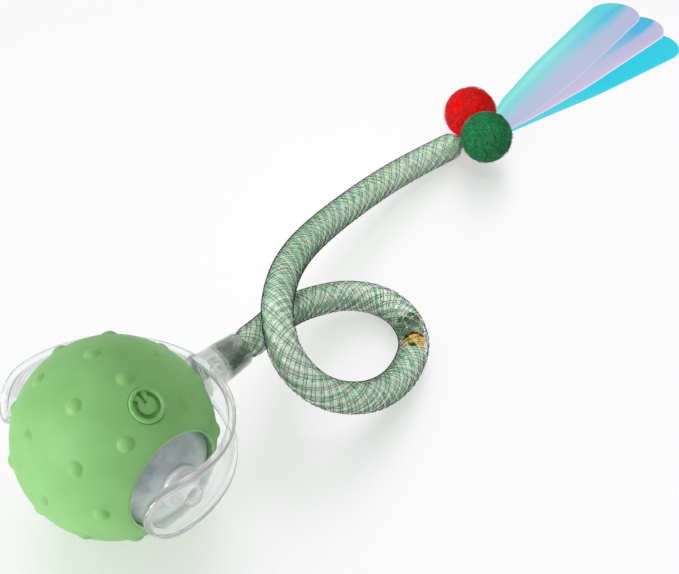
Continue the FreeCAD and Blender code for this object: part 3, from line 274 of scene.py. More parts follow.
SOCKET_PART, FLARE, GATHER = 7.2, 3.0, 5.0
in_socket, full, gathered = 3.45, 4.0, 1.7
tube_radius = in_socket + (full - in_socket) * smooth_step(along, SOCKET_PART, SOCKET_PART + FLARE)
tube_radius -= (full - gathered) * smooth_step(along, TAIL_LENGTH - GATHER, TAIL_LENGTH)
print("tube radius from", tube_radius.min(), "to", tube_radius.max())

# %% [markdown]
# ## The braided tube
# The tube is tubular crinoline: fine green monofilaments wound both ways in small groups, with flat
# shiny tapes between the groups. A texture could fake it from afar, but the real thing is seen through,
# front wires over back wires. So each wire is real: a thin four-sided bar on a helix. The photographed
# tube has been twisted, so one way winds steeply and the other runs nearly along the tube.

# %% Wires of the braid
random = np.random.default_rng(7)


def wires(paths, middles, radius):
    """Points and faces of thin four-sided bars along paths; middles are what they lie round."""
    points, faces, count = [], [], 0
    for path, middle in zip(paths, middles):
        ahead = unit(np.gradient(path, axis=0))
        out = path - middle
        out = unit(out - ahead * (out * ahead).sum(1)[:, None])
        side = np.cross(ahead, out)
        ring = [path + out * radius, path + side * radius, path - out * radius, path - side * radius]
        points.append(np.stack(ring, axis=1).reshape(-1, 3))
        faces.append(grid_faces(len(path), 4, wrap_columns=True, first=count))
        faces.append(np.array([[3, 2, 1, 0], [-4, -3, -2, -1]]) % len(points[-1]) + count)
        count += len(points[-1])
    return np.concatenate(points), np.concatenate(faces)


GROUPS, WIRE_GAP, WIRE_RADIUS = 7, 0.3, 0.055
STEEP_PITCH, LONG_PITCH = 17.0, 31.0
helices = []
for pitch, depth in ((STEEP_PITCH, 0.0), (-LONG_PITCH, 0.17)):
    for group in range(GROUPS):
        for offset in (-WIRE_GAP / 2, WIRE_GAP / 2):
            sway = 0.06 * np.sin(along / random.uniform(9, 17) + random.uniform(0, 6))
            start = math.tau * group / GROUPS + offset + random.normal(0, 0.04)
            helices.append(around(math.tau * along / pitch + start + sway, tube_radius - depth))
braid = new_piece("tail_braid", *wires(helices, [line] * len(helices), WIRE_RADIUS))
wire_finish = mottled("green_wire", colour(4, 30, 18), colour(22, 70, 42), 3.0,
                      Roughness=0.45, Specular_IOR_Level=0.2)
braid.visible_shadow = False
dress(braid, wire_finish)
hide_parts("mesh_tube")
print("braid wires", len(helices), "faces", len(braid.data.polygons))

# %% [markdown]
# Flat shiny tapes run between the groups of wires. They are ribbons two points wide that follow the
# same helices, a little deeper. Where one crosses another, the gap between the wires lights up as a
# bright field. They get narrow round the bell, which shows through the mesh.

# %% Flat tapes
BELL_SHARE, BELL_ROOM = 0.2998, 3.6
TAPE_FADE, WIDTH_LOST = 6.4, 0.9
bell_at = TAIL_LENGTH * BELL_SHARE
by_bell = np.exp(-((along - bell_at) / TAPE_FADE) ** 4)


def ribbons(paths, widths):
    """Points and faces of flat strips that lie flat on the tube."""
    points, faces, count = [], [], 0
    for path, width in zip(paths, widths):
        side = np.cross(np.gradient(path, axis=0), path - line)
        side *= (width * (1 - WIDTH_LOST * by_bell) / 2 / np.linalg.norm(side, axis=1))[:, None]
        points.append(np.stack([path - side, path + side], axis=1).reshape(-1, 3))
        faces.append(grid_faces(len(path), 2, first=count))
        count += len(points[-1])
    return np.concatenate(points), np.concatenate(faces)


tapes, tape_widths = [], []
for pitch, depth, width in ((STEEP_PITCH, 0.3, 0.45), (-LONG_PITCH, 0.36, 0.7)):
    for tape in range(GROUPS):
        turn = math.tau * along / pitch + math.tau * (tape + 0.5) / GROUPS
        tapes.append(around(turn, tube_radius - depth))
        tape_widths.append(width * random.uniform(0.8, 1.1))
shiny = new_piece("shiny_tapes", *ribbons(tapes, tape_widths))
shiny.visible_shadow = False
tape_finish = speckled("shiny_tape", 2.6, 4, [
    (0.3, colour(196, 246, 208)), (0.42, colour(224, 255, 228)), (0.5, colour(255, 255, 242)),
    (0.58, colour(208, 250, 240)), (0.66, colour(246, 253, 200)), (0.74, colour(246, 226, 212))],
    Roughness=0.3, Metallic=0.4, Alpha=0.7)
dress(shiny, tape_finish)
print("shiny tapes", len(tapes))

# %% [markdown]
# ## Film sleeve and tinsel
# Inside the braid lies a sleeve of thin green film that gives the tail its pale green ground, and
# in it long strips of tinsel wander and twist. The sleeve is a plain tube of grid points, darker and
# greener where it turns away from the eye: partly the film seen edge-on, partly painted shade on the
# tube's sides. It is left out round the bell, and further on its upper side, so that the bell shows.
# Each strip's way is a slow wave of its own, so no two lie the same.

# %% Inner film
FILM_SIDES, FILM_DEPTH = 24, 0.5
TOP_ROOM, TOP_FROM = 1.9 * BELL_ROOM, -1.0
ring_angles = np.linspace(0, math.tau, FILM_SIDES + 1)[:-1]
film_rings = np.stack([around(np.full(len(line), angle), tube_radius - FILM_DEPTH)
                       for angle in ring_angles], axis=1)
film_faces = grid_faces(len(line), FILM_SIDES, wrap_columns=True)
from_bell = np.abs(along[film_faces[:, 0] // FILM_SIDES] - bell_at)
on_top = (film_rings[..., 2] - line[:, None, 2]).ravel()[film_faces[:, 0]] > TOP_FROM
film_faces = film_faces[(from_bell > BELL_ROOM) & ~(on_top & (from_bell < TOP_ROOM))]
inner_film = new_piece("inner_film", film_rings, film_faces)
film_ground = new_finish("green_film_ground", Roughness=0.5, Alpha=0.93)
ground_tone = ramp(film_ground, noise(film_ground, 2.0, 4), [
    (0.34, colour(156, 226, 172)), (0.47, colour(222, 250, 220)), (0.58, colour(250, 255, 244))])
# Darker green towards the outline: partly film seen edge-on, partly painted shade.
facing = add_node(film_ground, "LayerWeight", {"Blend": 0.5}).outputs["Facing"]
edge_tint_and_shade = ramp(film_ground, facing, [(0.4, colour(255, 255, 255)), (0.9, colour(140, 205, 158))])
tinted = add_node(film_ground, "Mix", {"Factor": 1.0}, data_type="RGBA", blend_type="MULTIPLY")
join(film_ground, ground_tone, tinted.inputs["A"])
join(film_ground, edge_tint_and_shade, tinted.inputs["B"])
join(film_ground, tinted.outputs["Result"], shader_of(film_ground).inputs["Base Color"])
dress(inner_film, film_ground)
print("inner film faces", len(inner_film.data.polygons))

# %% [markdown]
# Glitter flecks sit where two tapes cross, just under the wires. Each is a tiny six-sided plate,
# tilted a little at random, so that some of them always catch the light. Two helices of opposite hand
# meet at even steps along the tube, and that gives the flecks their rows.

# %% Glitter flecks
FLECK_RADIUS, FLECK_SHARE, FLECK_DEPTH = 0.36, 0.85, 0.22
crossing_step = 1 / (GROUPS * (1 / STEEP_PITCH + 1 / LONG_PITCH))
row = np.arange(7 // crossing_step, (TAIL_LENGTH - 6) // crossing_step)
fleck_along = np.repeat(row * crossing_step, GROUPS)
spot_angle = (np.tile(np.arange(GROUPS), len(row)) + 0.5) / GROUPS - fleck_along / LONG_PITCH
shown = (random.random(len(fleck_along)) < FLECK_SHARE) & (np.abs(fleck_along - bell_at) > 4)
spot = np.round(fleck_along[shown] / along[1]).astype(int)
spot_angle = math.tau * spot_angle[shown] + random.normal(0, 0.04, len(spot))
FLECKS = len(spot)
fleck_out = np.cos(spot_angle)[:, None] * upward[spot] + np.sin(spot_angle)[:, None] * sideways[spot]
fleck_out = unit(fleck_out + random.normal(0, 0.16, fleck_out.shape))
fleck_side = unit(np.cross(fleck_out, heading[spot]))
fleck_ahead = np.cross(fleck_out, fleck_side)
fleck_middle = line[spot] + fleck_out * (tube_radius[spot, None] - FLECK_DEPTH)
corner_angle = np.linspace(0, math.tau, 7)[:-1]
fleck_size = FLECK_RADIUS * random.uniform(0.6, 1.15, (FLECKS, 1, 1))
fleck_rim = (np.cos(corner_angle)[:, None] * fleck_side[:, None]
             + np.sin(corner_angle)[:, None] * fleck_ahead[:, None])
fleck_points = fleck_middle[:, None] + fleck_size * fleck_rim
flecks = new_piece("glitter_flecks", fleck_points, np.arange(FLECKS * 6).reshape(-1, 6))
fleck_finish = speckled("glitter", 1.1, 2, [
    (0.35, colour(196, 244, 222)), (0.5, colour(255, 255, 252)), (0.62, colour(206, 246, 250)),
    (0.7, colour(252, 244, 214))], Roughness=0.25, Metallic=0.3)
dress(flecks, fleck_finish)
print("flecks", FLECKS)

# %% Tinsel strips
STRIPS, STRIP_REACH, END_ROOM = 7, 2.9, 3


def wandering(start, end):
    """Strips inside the tube between two distances along it, as paths cut from the route."""
    inside = (along >= start) & (along <= end)
    paths = []
    for _ in range(STRIPS):
        wave, phase = random.uniform(14, 40, 2), random.uniform(0, math.tau, 2)
        turn = phase[0] + 1.6 * np.sin(along / wave[0] + phase[1]) + along / random.uniform(25, 60)
        depth = STRIP_REACH * (0.62 + 0.36 * np.sin(along / wave[1] + phase[0]))
        paths.append((around(turn, depth * tube_radius / full), inside))
    return paths


def twisted(paths, name):
    """Tinsel strips that twist about their own length."""
    points, faces, count = [], [], 0
    for path, inside in paths:
        spin = np.cumsum(random.normal(0, 0.12, len(path))) + random.uniform(0, 6)
        side = np.cos(spin)[:, None] * upward + np.sin(spin)[:, None] * sideways
        width = random.uniform(0.4, 0.8)
        edges = np.stack([path - side * width / 2, path + side * width / 2], axis=1)[inside]
        points.append(edges.reshape(-1, 3))
        faces.append(grid_faces(len(edges), 2, first=count))
        count += len(points[-1])
    return new_piece(name, np.concatenate(points), np.concatenate(faces))


tinsel_front = twisted(wandering(END_ROOM, bell_at - BELL_ROOM), "tinsel_strips_front")
tinsel_rear = twisted(wandering(bell_at + BELL_ROOM, TAIL_LENGTH - END_ROOM), "tinsel_strips_rear")
tinsel_finish = speckled("tinsel_film", 4.0, 3, [
    (0.3, colour(178, 232, 214)), (0.45, colour(242, 252, 246)), (0.6, colour(186, 236, 246)),
    (0.72, colour(250, 232, 240))], Roughness=0.2, Metallic=0.8)
for strips, replaced in ((tinsel_front, "tinsel_front"), (tinsel_rear, "tinsel_rear")):
    dress(strips, tinsel_finish)
    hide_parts(replaced)
print("tinsel strips", 2 * STRIPS)

# %% [markdown]
# ## The silicone skin
# The skin is a ball with an opening at each pole, a round lip round each opening and rings of soft
# nubs. In rubber nothing is sharp: every nub rises from the skin in one smooth curve. So the skin is
# one closed profile turned round the poles' axis, and each outer point is pushed out by the nubs near
# it. The key's hole is cut last, with a boolean, because only that gives a clean round edge.

# %% Silicone skin
BALL = np.array((0, 0, 23.598))
SKIN_RADIUS, SKIN_INNER, OPENING, LIP = 23.3, 21.56, 12.1, 0.5
NUB_HEIGHT, NUB_FOOT, NUB_BLEND = 0.7, 1.85, 0.05
KEY_ANGLE = math.radians(55)
key_axis = np.array((math.cos(KEY_ANGLE), 0, math.sin(KEY_ANGLE)))


def on_ball(polar, column):
    """Directions from the ball's centre; the polar angle is counted from +X."""
    polar, column = np.broadcast_arrays(np.radians(polar), np.radians(column))
    return np.stack([np.cos(polar), np.sin(polar) * np.cos(column), np.sin(polar) * np.sin(column)], -1)


nubs = [on_ball(74.0, 90)]
for ring in range(6):
    for column in range(6):
        here = (ring % 2) * 30 + 60 * column
        if ring != 1 or here != 90:
            nubs.append(on_ball(48 + 17.5 * ring, here))
print("nubs", len(nubs))

# %% Skin profile and nubs
lip_out = OPENING + LIP
lip_along = math.sqrt((SKIN_RADIUS - LIP) ** 2 - lip_out ** 2)
lip_angle = math.atan2(lip_out, lip_along)
lip_turn = np.linspace(-math.pi / 2, lip_angle, 9)[:-1]
right_lip = np.stack([lip_along + LIP * np.cos(lip_turn), lip_out + LIP * np.sin(lip_turn)], 1)
outer_polar = np.linspace(lip_angle, math.pi - lip_angle, 300)
outer = SKIN_RADIUS * np.stack([np.cos(outer_polar), np.sin(outer_polar)], 1)
left_lip = right_lip[::-1] * (-1, 1)
inner_angle = math.asin((OPENING + 0.02) / SKIN_INNER)
inner_polar = np.linspace(math.pi - inner_angle, inner_angle, 60)
inner = SKIN_INNER * np.stack([np.cos(inner_polar), np.sin(inner_polar)], 1)
profile = np.concatenate([right_lip, outer, left_lip, inner])
is_outer = np.zeros(len(profile), bool)
is_outer[len(right_lip):len(right_lip) + len(outer)] = True
COLUMNS = 440
column = np.linspace(0, math.tau, COLUMNS + 1)[:-1]
skin = np.stack([
    np.repeat(profile[:, :1], COLUMNS, axis=1),
    profile[:, 1:] * np.cos(column),
    profile[:, 1:] * np.sin(column),
], axis=-1)
outward = unit(skin)
nub_radius = (NUB_FOOT ** 2 + NUB_HEIGHT ** 2) / (2 * NUB_HEIGHT)
height = np.zeros(skin.shape[:2])
for nub in nubs:
    away = np.arccos(np.clip(outward @ nub, -1, 1)) * SKIN_RADIUS
    dome = np.sqrt(np.clip(nub_radius ** 2 - away ** 2, 0, None)) - nub_radius + NUB_HEIGHT
    soft_foot = (dome + np.sqrt(dome ** 2 + NUB_BLEND ** 2)) / 2
    height = np.maximum(height, np.where(away < NUB_FOOT + 1.2, soft_foot - 0.003, 0))
skin += outward * (height * is_outer[:, None])[..., None]
skin_piece = new_piece("silicone_skin", skin + BALL,
                       grid_faces(len(profile), COLUMNS, True, True), "ball", outward=True)
print("skin points", skin.shape[0] * skin.shape[1])


# %% Cut the key's hole
def turned(name, profile_points, segments, origin, axis, body, closed=True):
    """A piece turned round an axis; its profile is pairs of (along the axis, out from it)."""
    axis = np.asarray(axis, float)
    first = np.cross(axis, (0, 1, 0) if abs(axis[1]) < 0.9 else (1, 0, 0))
    first /= np.linalg.norm(first)
    second = np.cross(axis, first)
    turn = np.linspace(0, math.tau, segments + 1)[:-1]
    spoke = np.cos(turn)[:, None] * first + np.sin(turn)[:, None] * second
    rows = np.asarray(profile_points, float)
    points = rows[:, None, :1] * axis + rows[:, None, 1:] * spoke[None]
    faces = grid_faces(len(rows), segments, wrap_rows=closed, wrap_columns=True)
    return new_piece(name, points + np.asarray(origin), faces, body, outward=True)


def cut_by(piece, tool, kind="DIFFERENCE"):
    """Cuts a piece by another, or joins them, and removes the tool."""
    change = piece.modifiers.new("cut", "BOOLEAN")
    change.operation, change.object, change.solver = kind, tool, "EXACT"
    bpy.context.view_layer.update()
    made = bpy.data.meshes.new_from_object(piece.evaluated_get(bpy.context.evaluated_depsgraph_get()))
    piece.modifiers.remove(change)
    piece.data = made
    bpy.data.objects.remove(tool)


KEY_HOLE = 4.3
key_hole = turned("key_hole", [(20, 0.001), (20, KEY_HOLE), (26, KEY_HOLE), (26, 0.001)],
                  160, BALL, key_axis, "ball")
cut_by(skin_piece, key_hole)
silicone = mottled("green_silicone", colour(134, 193, 115), colour(144, 203, 125), 9.0,
                   Roughness=0.5, Specular_IOR_Level=0.3)
bump(silicone, noise(silicone, 0.25, 2), 0.012)
dress(skin_piece, silicone)
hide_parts("silicone_sleeve")
print("skin faces", len(skin_piece.data.polygons))

# %% [markdown]
# ## The power key
# The key is a round button of the same rubber, with a raised ring and the power symbol pressed into
# it. A fine disc of points whose height is worked out from the distance to the ring, the arc and the
# bar gives every edge the same small moulded radius.

# %% Power key
KEY_RADIUS, KEY_FACE, KEY_BASE = 4.2, 22.95, 21.92
key_rings, key_spokes = 110, 300
ring_radius = np.linspace(0.001, KEY_RADIUS, key_rings)[:, None]
spoke_angle = np.linspace(0, math.tau, key_spokes + 1)[None, :-1]
key_x, key_y = ring_radius * np.cos(spoke_angle), ring_radius * np.sin(spoke_angle)
from_gap = np.abs(spoke_angle - math.pi)
to_arc = np.maximum(np.abs(ring_radius - 2.65) - 0.45, (math.radians(38) - from_gap) * ring_radius)
to_bar = np.maximum(np.abs(key_y) - 0.36, np.abs(key_x + 1.95) - 1.45)
pressed = 1 - smooth_step(np.minimum(to_arc, to_bar), -0.06, 0.1)
ring_rise = 0.75 * np.sqrt(np.clip(1 - ((ring_radius - 3.73) / 0.48) ** 4, 0, 1))
face_dome = 0.3 * np.clip(1 - (ring_radius / 3.3) ** 2, 0, 1)
key_up = KEY_FACE + ring_rise + face_dome + 0 * spoke_angle - 0.85 * pressed
side_up = np.linspace(KEY_FACE + 0.1, KEY_BASE, 6)[1:, None] + 0 * spoke_angle
all_x = np.concatenate([key_x, np.repeat(key_x[-1:], 5, axis=0), key_x[:1]])
all_y = np.concatenate([key_y, np.repeat(key_y[-1:], 5, axis=0), key_y[:1]])
all_up = np.concatenate([key_up, side_up, side_up[-1:]])
key_side = np.array((key_axis[2], 0, -key_axis[0]))
key_points = (all_x[..., None] * key_side + all_y[..., None] * np.array((0, 1.0, 0))
              + all_up[..., None] * key_axis + BALL)
key = new_piece("power_key", key_points, grid_faces(*all_x.shape, wrap_columns=True), "button", True)
dress(key, silicone)
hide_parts("power_button")
print("key points", all_x.size)

# %% [markdown]
# ## The clear yoke
# The yoke is one moulding: a C-shaped band with a thick rim, a pin for each pole and the socket of
# the tail. Light bends at every clear edge, so the rim's flat top and small corner radii are real, and
# not a shading trick. The band is laid out as lines from its edge to its middle, with a thickness that
# depends only on the distance to the edge, and a fine groove along the rim. Pins and socket are turned and
# joined to it by booleans, because a wall left inside clear plastic would show. The socket gets a darker
# grey finish than the band: painted shade where the filled socket looks darker.

# %% Yoke band
BAND_IN, BAND_OUT, WEB_OUT = 26.0, 27.8, 27.0
LEAF, LEAF_BACK, NECK = 7.7, 5.0, 5.4
BAND_MIDDLE = (BAND_IN + BAND_OUT) / 2
HALF_BAND, CORNER = (BAND_OUT - BAND_IN) / 2, 0.4
lean = (LEAF - NECK) / (BAND_OUT + LEAF_BACK)
rise = math.sqrt(1 - lean ** 2)
last_turn = math.acos((LEAF * lean - LEAF_BACK) / BAND_MIDDLE)
edge_y, edge_z, middle_y = [], [], []
for share in np.linspace(0, 1, 70):
    y = BAND_MIDDLE * math.cos(last_turn * share)
    z = (LEAF - lean * (y + LEAF_BACK)) / rise
    edge_y.append(y), edge_z.append(z), middle_y.append(y - share * lean * z / rise)
for turn in np.linspace(math.atan2(rise, lean), math.pi, 40)[1:]:
    edge_y.append(-LEAF_BACK + LEAF * math.cos(turn)), edge_z.append(LEAF * math.sin(turn))
    middle_y.append(-LEAF_BACK)
edge_y = np.array(edge_y + edge_y[-2::-1])
edge_z = np.array(edge_z + [-z for z in edge_z[-2::-1]])
middle_y = np.array(middle_y + middle_y[-2::-1])
corner_turn = np.linspace(0, math.pi / 2, 8)
flat_depths = [0.5, 0.6, 0.68, 0.76, 0.84, 0.94, 1.1, 1.25, 1.35, 1.45, 1.55, 1.65, 1.8, 2.1]
depths = np.concatenate([[0], CORNER * (1 - np.cos(corner_turn)), flat_depths])
MIDDLE_ROWS = 7
flat_part = np.full(len(flat_depths) + MIDDLE_ROWS, HALF_BAND)
bulge = np.concatenate([[0], HALF_BAND - CORNER * (1 - np.sin(corner_turn)), flat_part])[:, None]
reach = np.hypot(edge_y - middle_y, edge_z)
to_middle = np.linspace(flat_depths[-1] / reach, 1, MIDDLE_ROWS + 1)[1:]
inward = np.concatenate([depths[:, None] / reach, to_middle])
depth = inward * reach
y = edge_y + (middle_y - edge_y) * inward
z = edge_z * (1 - inward)
groove = 0.18 * np.exp(-((depth - 0.72) / 0.13) ** 2)
outside = BAND_MIDDLE + bulge - groove - (BAND_OUT - WEB_OUT) * smooth_step(depth, 1.15, 1.7)
inside = BAND_MIDDLE - bulge + groove
turn = np.arccos(np.clip(y / BAND_MIDDLE, -1, 1))
points, faces, count = [], [], 0
for side in (1, -1):
    for radius in (outside, inside):
        sheet = np.stack([side * radius * np.sin(turn), radius * np.cos(turn), z], axis=-1)
        points.append(sheet.reshape(-1, 3) + BALL)
        faces.append(grid_faces(*turn.shape, first=count))
        count += turn.size
yoke = new_piece("clear_yoke", np.concatenate(points), np.concatenate(faces))
print("yoke band faces", len(yoke.data.polygons))


# %% Weld the band, then join pins and socket
def weld(piece, distance):
    """Merges points that lie together, and turns all faces outward."""
    shape = bmesh.new()
    shape.from_mesh(piece.data)
    bmesh.ops.remove_doubles(shape, verts=shape.verts, dist=distance * MM)
    bmesh.ops.dissolve_degenerate(shape, dist=distance * MM / 2, edges=shape.edges)
    bmesh.ops.recalc_face_normals(shape, faces=shape.faces)
    open_edges = sum(len(edge.link_faces) != 2 for edge in shape.edges)
    shape.to_mesh(piece.data)
    shape.free()
    return open_edges


print("open edges in the band:", weld(yoke, 0.004))
for name, way in (("right", 1), ("left", -1)):
    pin = turned("pin_" + name, [
        (17.25, 0.001), (17.25, 1.3), (17.45, 1.5), (23.2, 1.5), (23.2, 2.4), (23.4, 2.6),
        (26.6, 2.6), (26.6, 0.001)], 64, BALL, (way, 0, 0), "yoke", closed=False)
    weld(pin, 0.01)
    cut_by(yoke, pin, "UNION")
socket = turned("tail_socket", [
    (26.3, 0.001), (26.3, 5.28), (33.0, 4.83), (39.6, 4.38), (39.85, 4.3), (40.0, 4.1), (40.0, 3.85),
    (39.85, 3.7), (39.6, 3.65), (33.8, 3.65), (33.8, 0.001)], 96, BALL, (0, 1, 0), "yoke", closed=False)
weld(socket, 0.01)
cut_by(yoke, socket, "UNION")
clear = mottled("clear_plastic", colour(244, 249, 248), colour(251, 254, 253), 12.0,
                Roughness=0.0, IOR=1.42, Transmission_Weight=1.0, Coat_Weight=1.0, Coat_IOR=2.5,
                Alpha=0.88)
bump(clear, noise(clear, 6.0, 2), 0.03, 0.4)
dress(yoke, clear)
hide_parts("yoke_frame")
# Darker grey finish for the socket: painted shade.
socket_painted_shade = mottled("clear_socket_painted_shade", colour(150, 162, 156), colour(196, 206, 201), 2.5, Roughness=0.0, IOR=1.42,
                Transmission_Weight=1.0, Coat_Weight=1.0, Coat_IOR=1.8, Alpha=0.88)
yoke.data.materials.append(socket_painted_shade)
SOCKET_FROM = 28.2
for face in yoke.data.polygons:
    face.material_index = int(face.center[1] > SOCKET_FROM * MM)
print("yoke faces", len(yoke.data.polygons))

# %% [markdown]
# The clear disc at each pole is a thick puck with a stepped rim and a raised ring round the pin. Every
# step catches a thin line of light, as it does in the photograph. A bead of smoother, paler rubber is
# also laid on the skin's lips: its paler colour is a painted highlight on the lip's crest.

# %% Pole discs and lip beads
disc_finish = mottled("clear_disc", colour(236, 243, 241), colour(252, 254, 253), 3.0, 0.01, Roughness=0.05,
                      Transmission_Weight=0.3, Coat_Weight=1.0, Coat_IOR=2.0)
# Paler rubber for the lip beads: a painted highlight on the lip's crest.
highlight_lip_finish = mottled("lip_silicone_painted_highlight", colour(160, 216, 142), colour(182, 230, 162), 9.0, Roughness=0.35)
BEAD_RADIUS, BEAD_REACH, BEAD_ANGLE = 0.22, 0.4, -0.5
bead_way = np.array((math.cos(BEAD_ANGLE), math.sin(BEAD_ANGLE)))
bead_turn = np.linspace(0, math.tau, 13)[:-1]
bead_ring = (np.array((lip_along, lip_out)) + BEAD_REACH * bead_way
             + BEAD_RADIUS * np.stack([np.cos(bead_turn), np.sin(bead_turn)], 1))
for name, way in (("right", 1), ("left", -1)):
    disc = turned("pole_disc_" + name, [
        (20.86, 1.64), (20.86, 5.0), (22.2, 5.0), (22.4, 4.8), (22.4, 4.55), (22.8, 4.35), (22.82, 4.05),
        (22.5, 3.8), (22.5, 3.3), (22.82, 3.05), (22.82, 1.64)], 120, BALL, (way, 0, 0), "ball")
    dress(disc, disc_finish)
    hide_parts("hub_disc_" + name)
    bead = turned("lip_highlight_bead_" + name, bead_ring, 240, BALL, (way, 0, 0), "ball")
    dress(bead, highlight_lip_finish)
print("pole discs and lip beads", 4)

# %% [markdown]
# ## Felt balls
# Needle felt is a dense mass of wool fibres. From near, its surface is full of small pits, and fine
# hairs stand out round its outline. A finely divided ball gets both: noise moves its points, and thin
# curved bars lie over it as loose fibres.

# %% Felt balls
def felt(name, centre, radius, dark, light, fibre, count):
    """A felt ball and its loose fibres."""
    shape = bmesh.new()
    bmesh.ops.create_icosphere(shape, subdivisions=6, radius=radius - 0.12)
    for vertex in shape.verts:
        here = vertex.co
        lumps = 0.24 * noise_at(here / 4.5 + Vector(centre)) + 0.17 * noise_at(here / 0.75)
        fine = 0.09 * noise_at(here / 0.33 + Vector((5, 1, 2)))
        vertex.co = here * (1 + (lumps + fine - 0.05) / radius)
    mesh = bpy.data.meshes.new(name)
    shape.to_mesh(mesh)
    shape.free()
    mesh.transform(Matrix.Scale(MM, 4) @ Matrix.Translation(centre))
    mesh.polygons.foreach_set("use_smooth", np.ones(len(mesh.polygons), bool))
    ball = bpy.data.objects.new(name, mesh)
    bpy.context.scene.collection.objects.link(ball)
    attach(ball, "yoke")
    finish = mottled(name + "_wool", dark, light, 0.6, 0.05, Roughness=0.95, Sheen_Weight=0.15,
                     Sheen_Roughness=0.5, Specular_IOR_Level=0.05)
    shader_of(finish).inputs["Sheen Tint"].default_value = light
    dress(ball, finish)
    start = unit(random.normal(size=(count, 3)))
    way = unit(np.cross(start, random.normal(size=(count, 3))))
    bend = np.cross(start, way) * random.normal(0, 0.5, (count, 1))
    share = np.linspace(0, 1, 6)[None, :, None]
    length = random.uniform(0.1, 0.3, (count, 1, 1))
    lift = random.exponential(0.16, (count, 1, 1)).clip(0.02, 0.55)
    rough = unit(start[:, None] + (way[:, None] + bend[:, None] * share) * share * length)
    paths = rough * (radius - 0.15 + lift * np.sin(share * 2.6)) + np.array(centre)
    low_enough = paths[..., 2].min(1) > 0.05
    hairs = new_piece(name + "_fibres", *wires(paths[low_enough], [np.array(centre)] * count, 0.03))
    hair_finish = mottled(name + "_hair", dark, fibre, 2.0, Roughness=0.8, Sheen_Weight=0.3)
    dress(hairs, hair_finish)
    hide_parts(name.replace("felt_", "felt_ball_"))
    print(name, "fibres", int(low_enough.sum()))
    return ball, hairs


red_ball, red_hairs = felt("felt_red", (-36.5, 172.5, 7.8), 7.8, colour(206, 2, 6),
                           colour(244, 14, 12), colour(246, 28, 20), 2600)
green_ball, green_hairs = felt("felt_green", (-23.6, 164.0, 9.6), 7.5, colour(2, 48, 26),
                               colour(40, 168, 98), colour(54, 166, 100), 2600)

# %% [markdown]
# A thread is wound round the gathered end of the tail and holds the balls' threads and the petals.
# Its turns are a spiral groove: the surface's radius depends on the way along plus the angle.

# %% Wound thread
TIE_END = np.array((-31.0, 166.1, 2.1))
TIE_RADIUS, TIE_TURNS = 1.28, 9
TIE_ROWS, TIE_COLUMNS = 120, 48
tie_way = TIE_END - line[-1]
tie_side = np.cross(tie_way, (0, 0, 1.0))
tie_side /= np.linalg.norm(tie_side)
tie_up = np.cross(tie_side, tie_way) / np.linalg.norm(tie_way)
tie_share = np.linspace(0, 1, TIE_ROWS)[:, None]
tie_angle = np.linspace(0, math.tau, TIE_COLUMNS + 1)[None, :-1]
groove = np.abs(np.sin(math.pi * TIE_TURNS * tie_share + tie_angle / 2))
tie_radius = (TIE_RADIUS - 0.16 * (1 - groove)) * np.sqrt(np.clip(np.sin(math.pi * tie_share), 0, 1)) ** 0.4
tie_points = (line[-1] + tie_way * tie_share[..., None]
              + tie_radius[..., None] * (np.cos(tie_angle)[..., None] * tie_side
                                         + np.sin(tie_angle)[..., None] * tie_up))
tie = new_piece("wound_thread", tie_points, grid_faces(TIE_ROWS, TIE_COLUMNS, wrap_columns=True),
                outward=True)
tie_finish = mottled("tie_thread", colour(34, 82, 54), colour(84, 146, 104), 0.4, 0.02, Roughness=0.8)
dress(tie, tie_finish)
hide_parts("tail_tie")
print("wound thread turns", TIE_TURNS)

# %% [markdown]
# ## Film petals
# Three petals of iridescent film lie on each other like a fan. Real film is so thin that only its
# reflections and its edges show it, and its colour runs from mint over cyan to lilac. Each petal is a
# single sheet on a grid that follows its outline; one shared ripple keeps the sheets from cutting each
# other. Its colours come from the petal's own across and along coordinates.

# %% Petal shapes
MEET = np.array((-30.2, 170.6))
STEM, TIP_ROUND = 4.6, 8.4
PETALS = {"right": (-5.2, 88.5, 5.6, 0), "middle": (1.5, 93.5, 7.8, 1), "left": (8.7, 96.0, 11.6, 2)}


def half_width(distance, reach, shoulder):
    """Half the petal's width at a distance from where the petals cross."""
    places = [-STEM, 6, 20, 46, reach - TIP_ROUND]
    halves = [1.2, 1.2, shoulder / 2, 0.55 * TIP_ROUND + 0.57 * shoulder / 2, TIP_ROUND]
    shifts = np.linspace(-5, 5, 11)
    softened = np.mean([np.interp(distance + shift, places, halves) for shift in shifts], axis=0)
    tip = np.clip(1 - ((distance - reach + TIP_ROUND) / TIP_ROUND) ** 2, 0, 1)
    return np.where(distance > reach - TIP_ROUND, TIP_ROUND * np.sqrt(tip), softened)


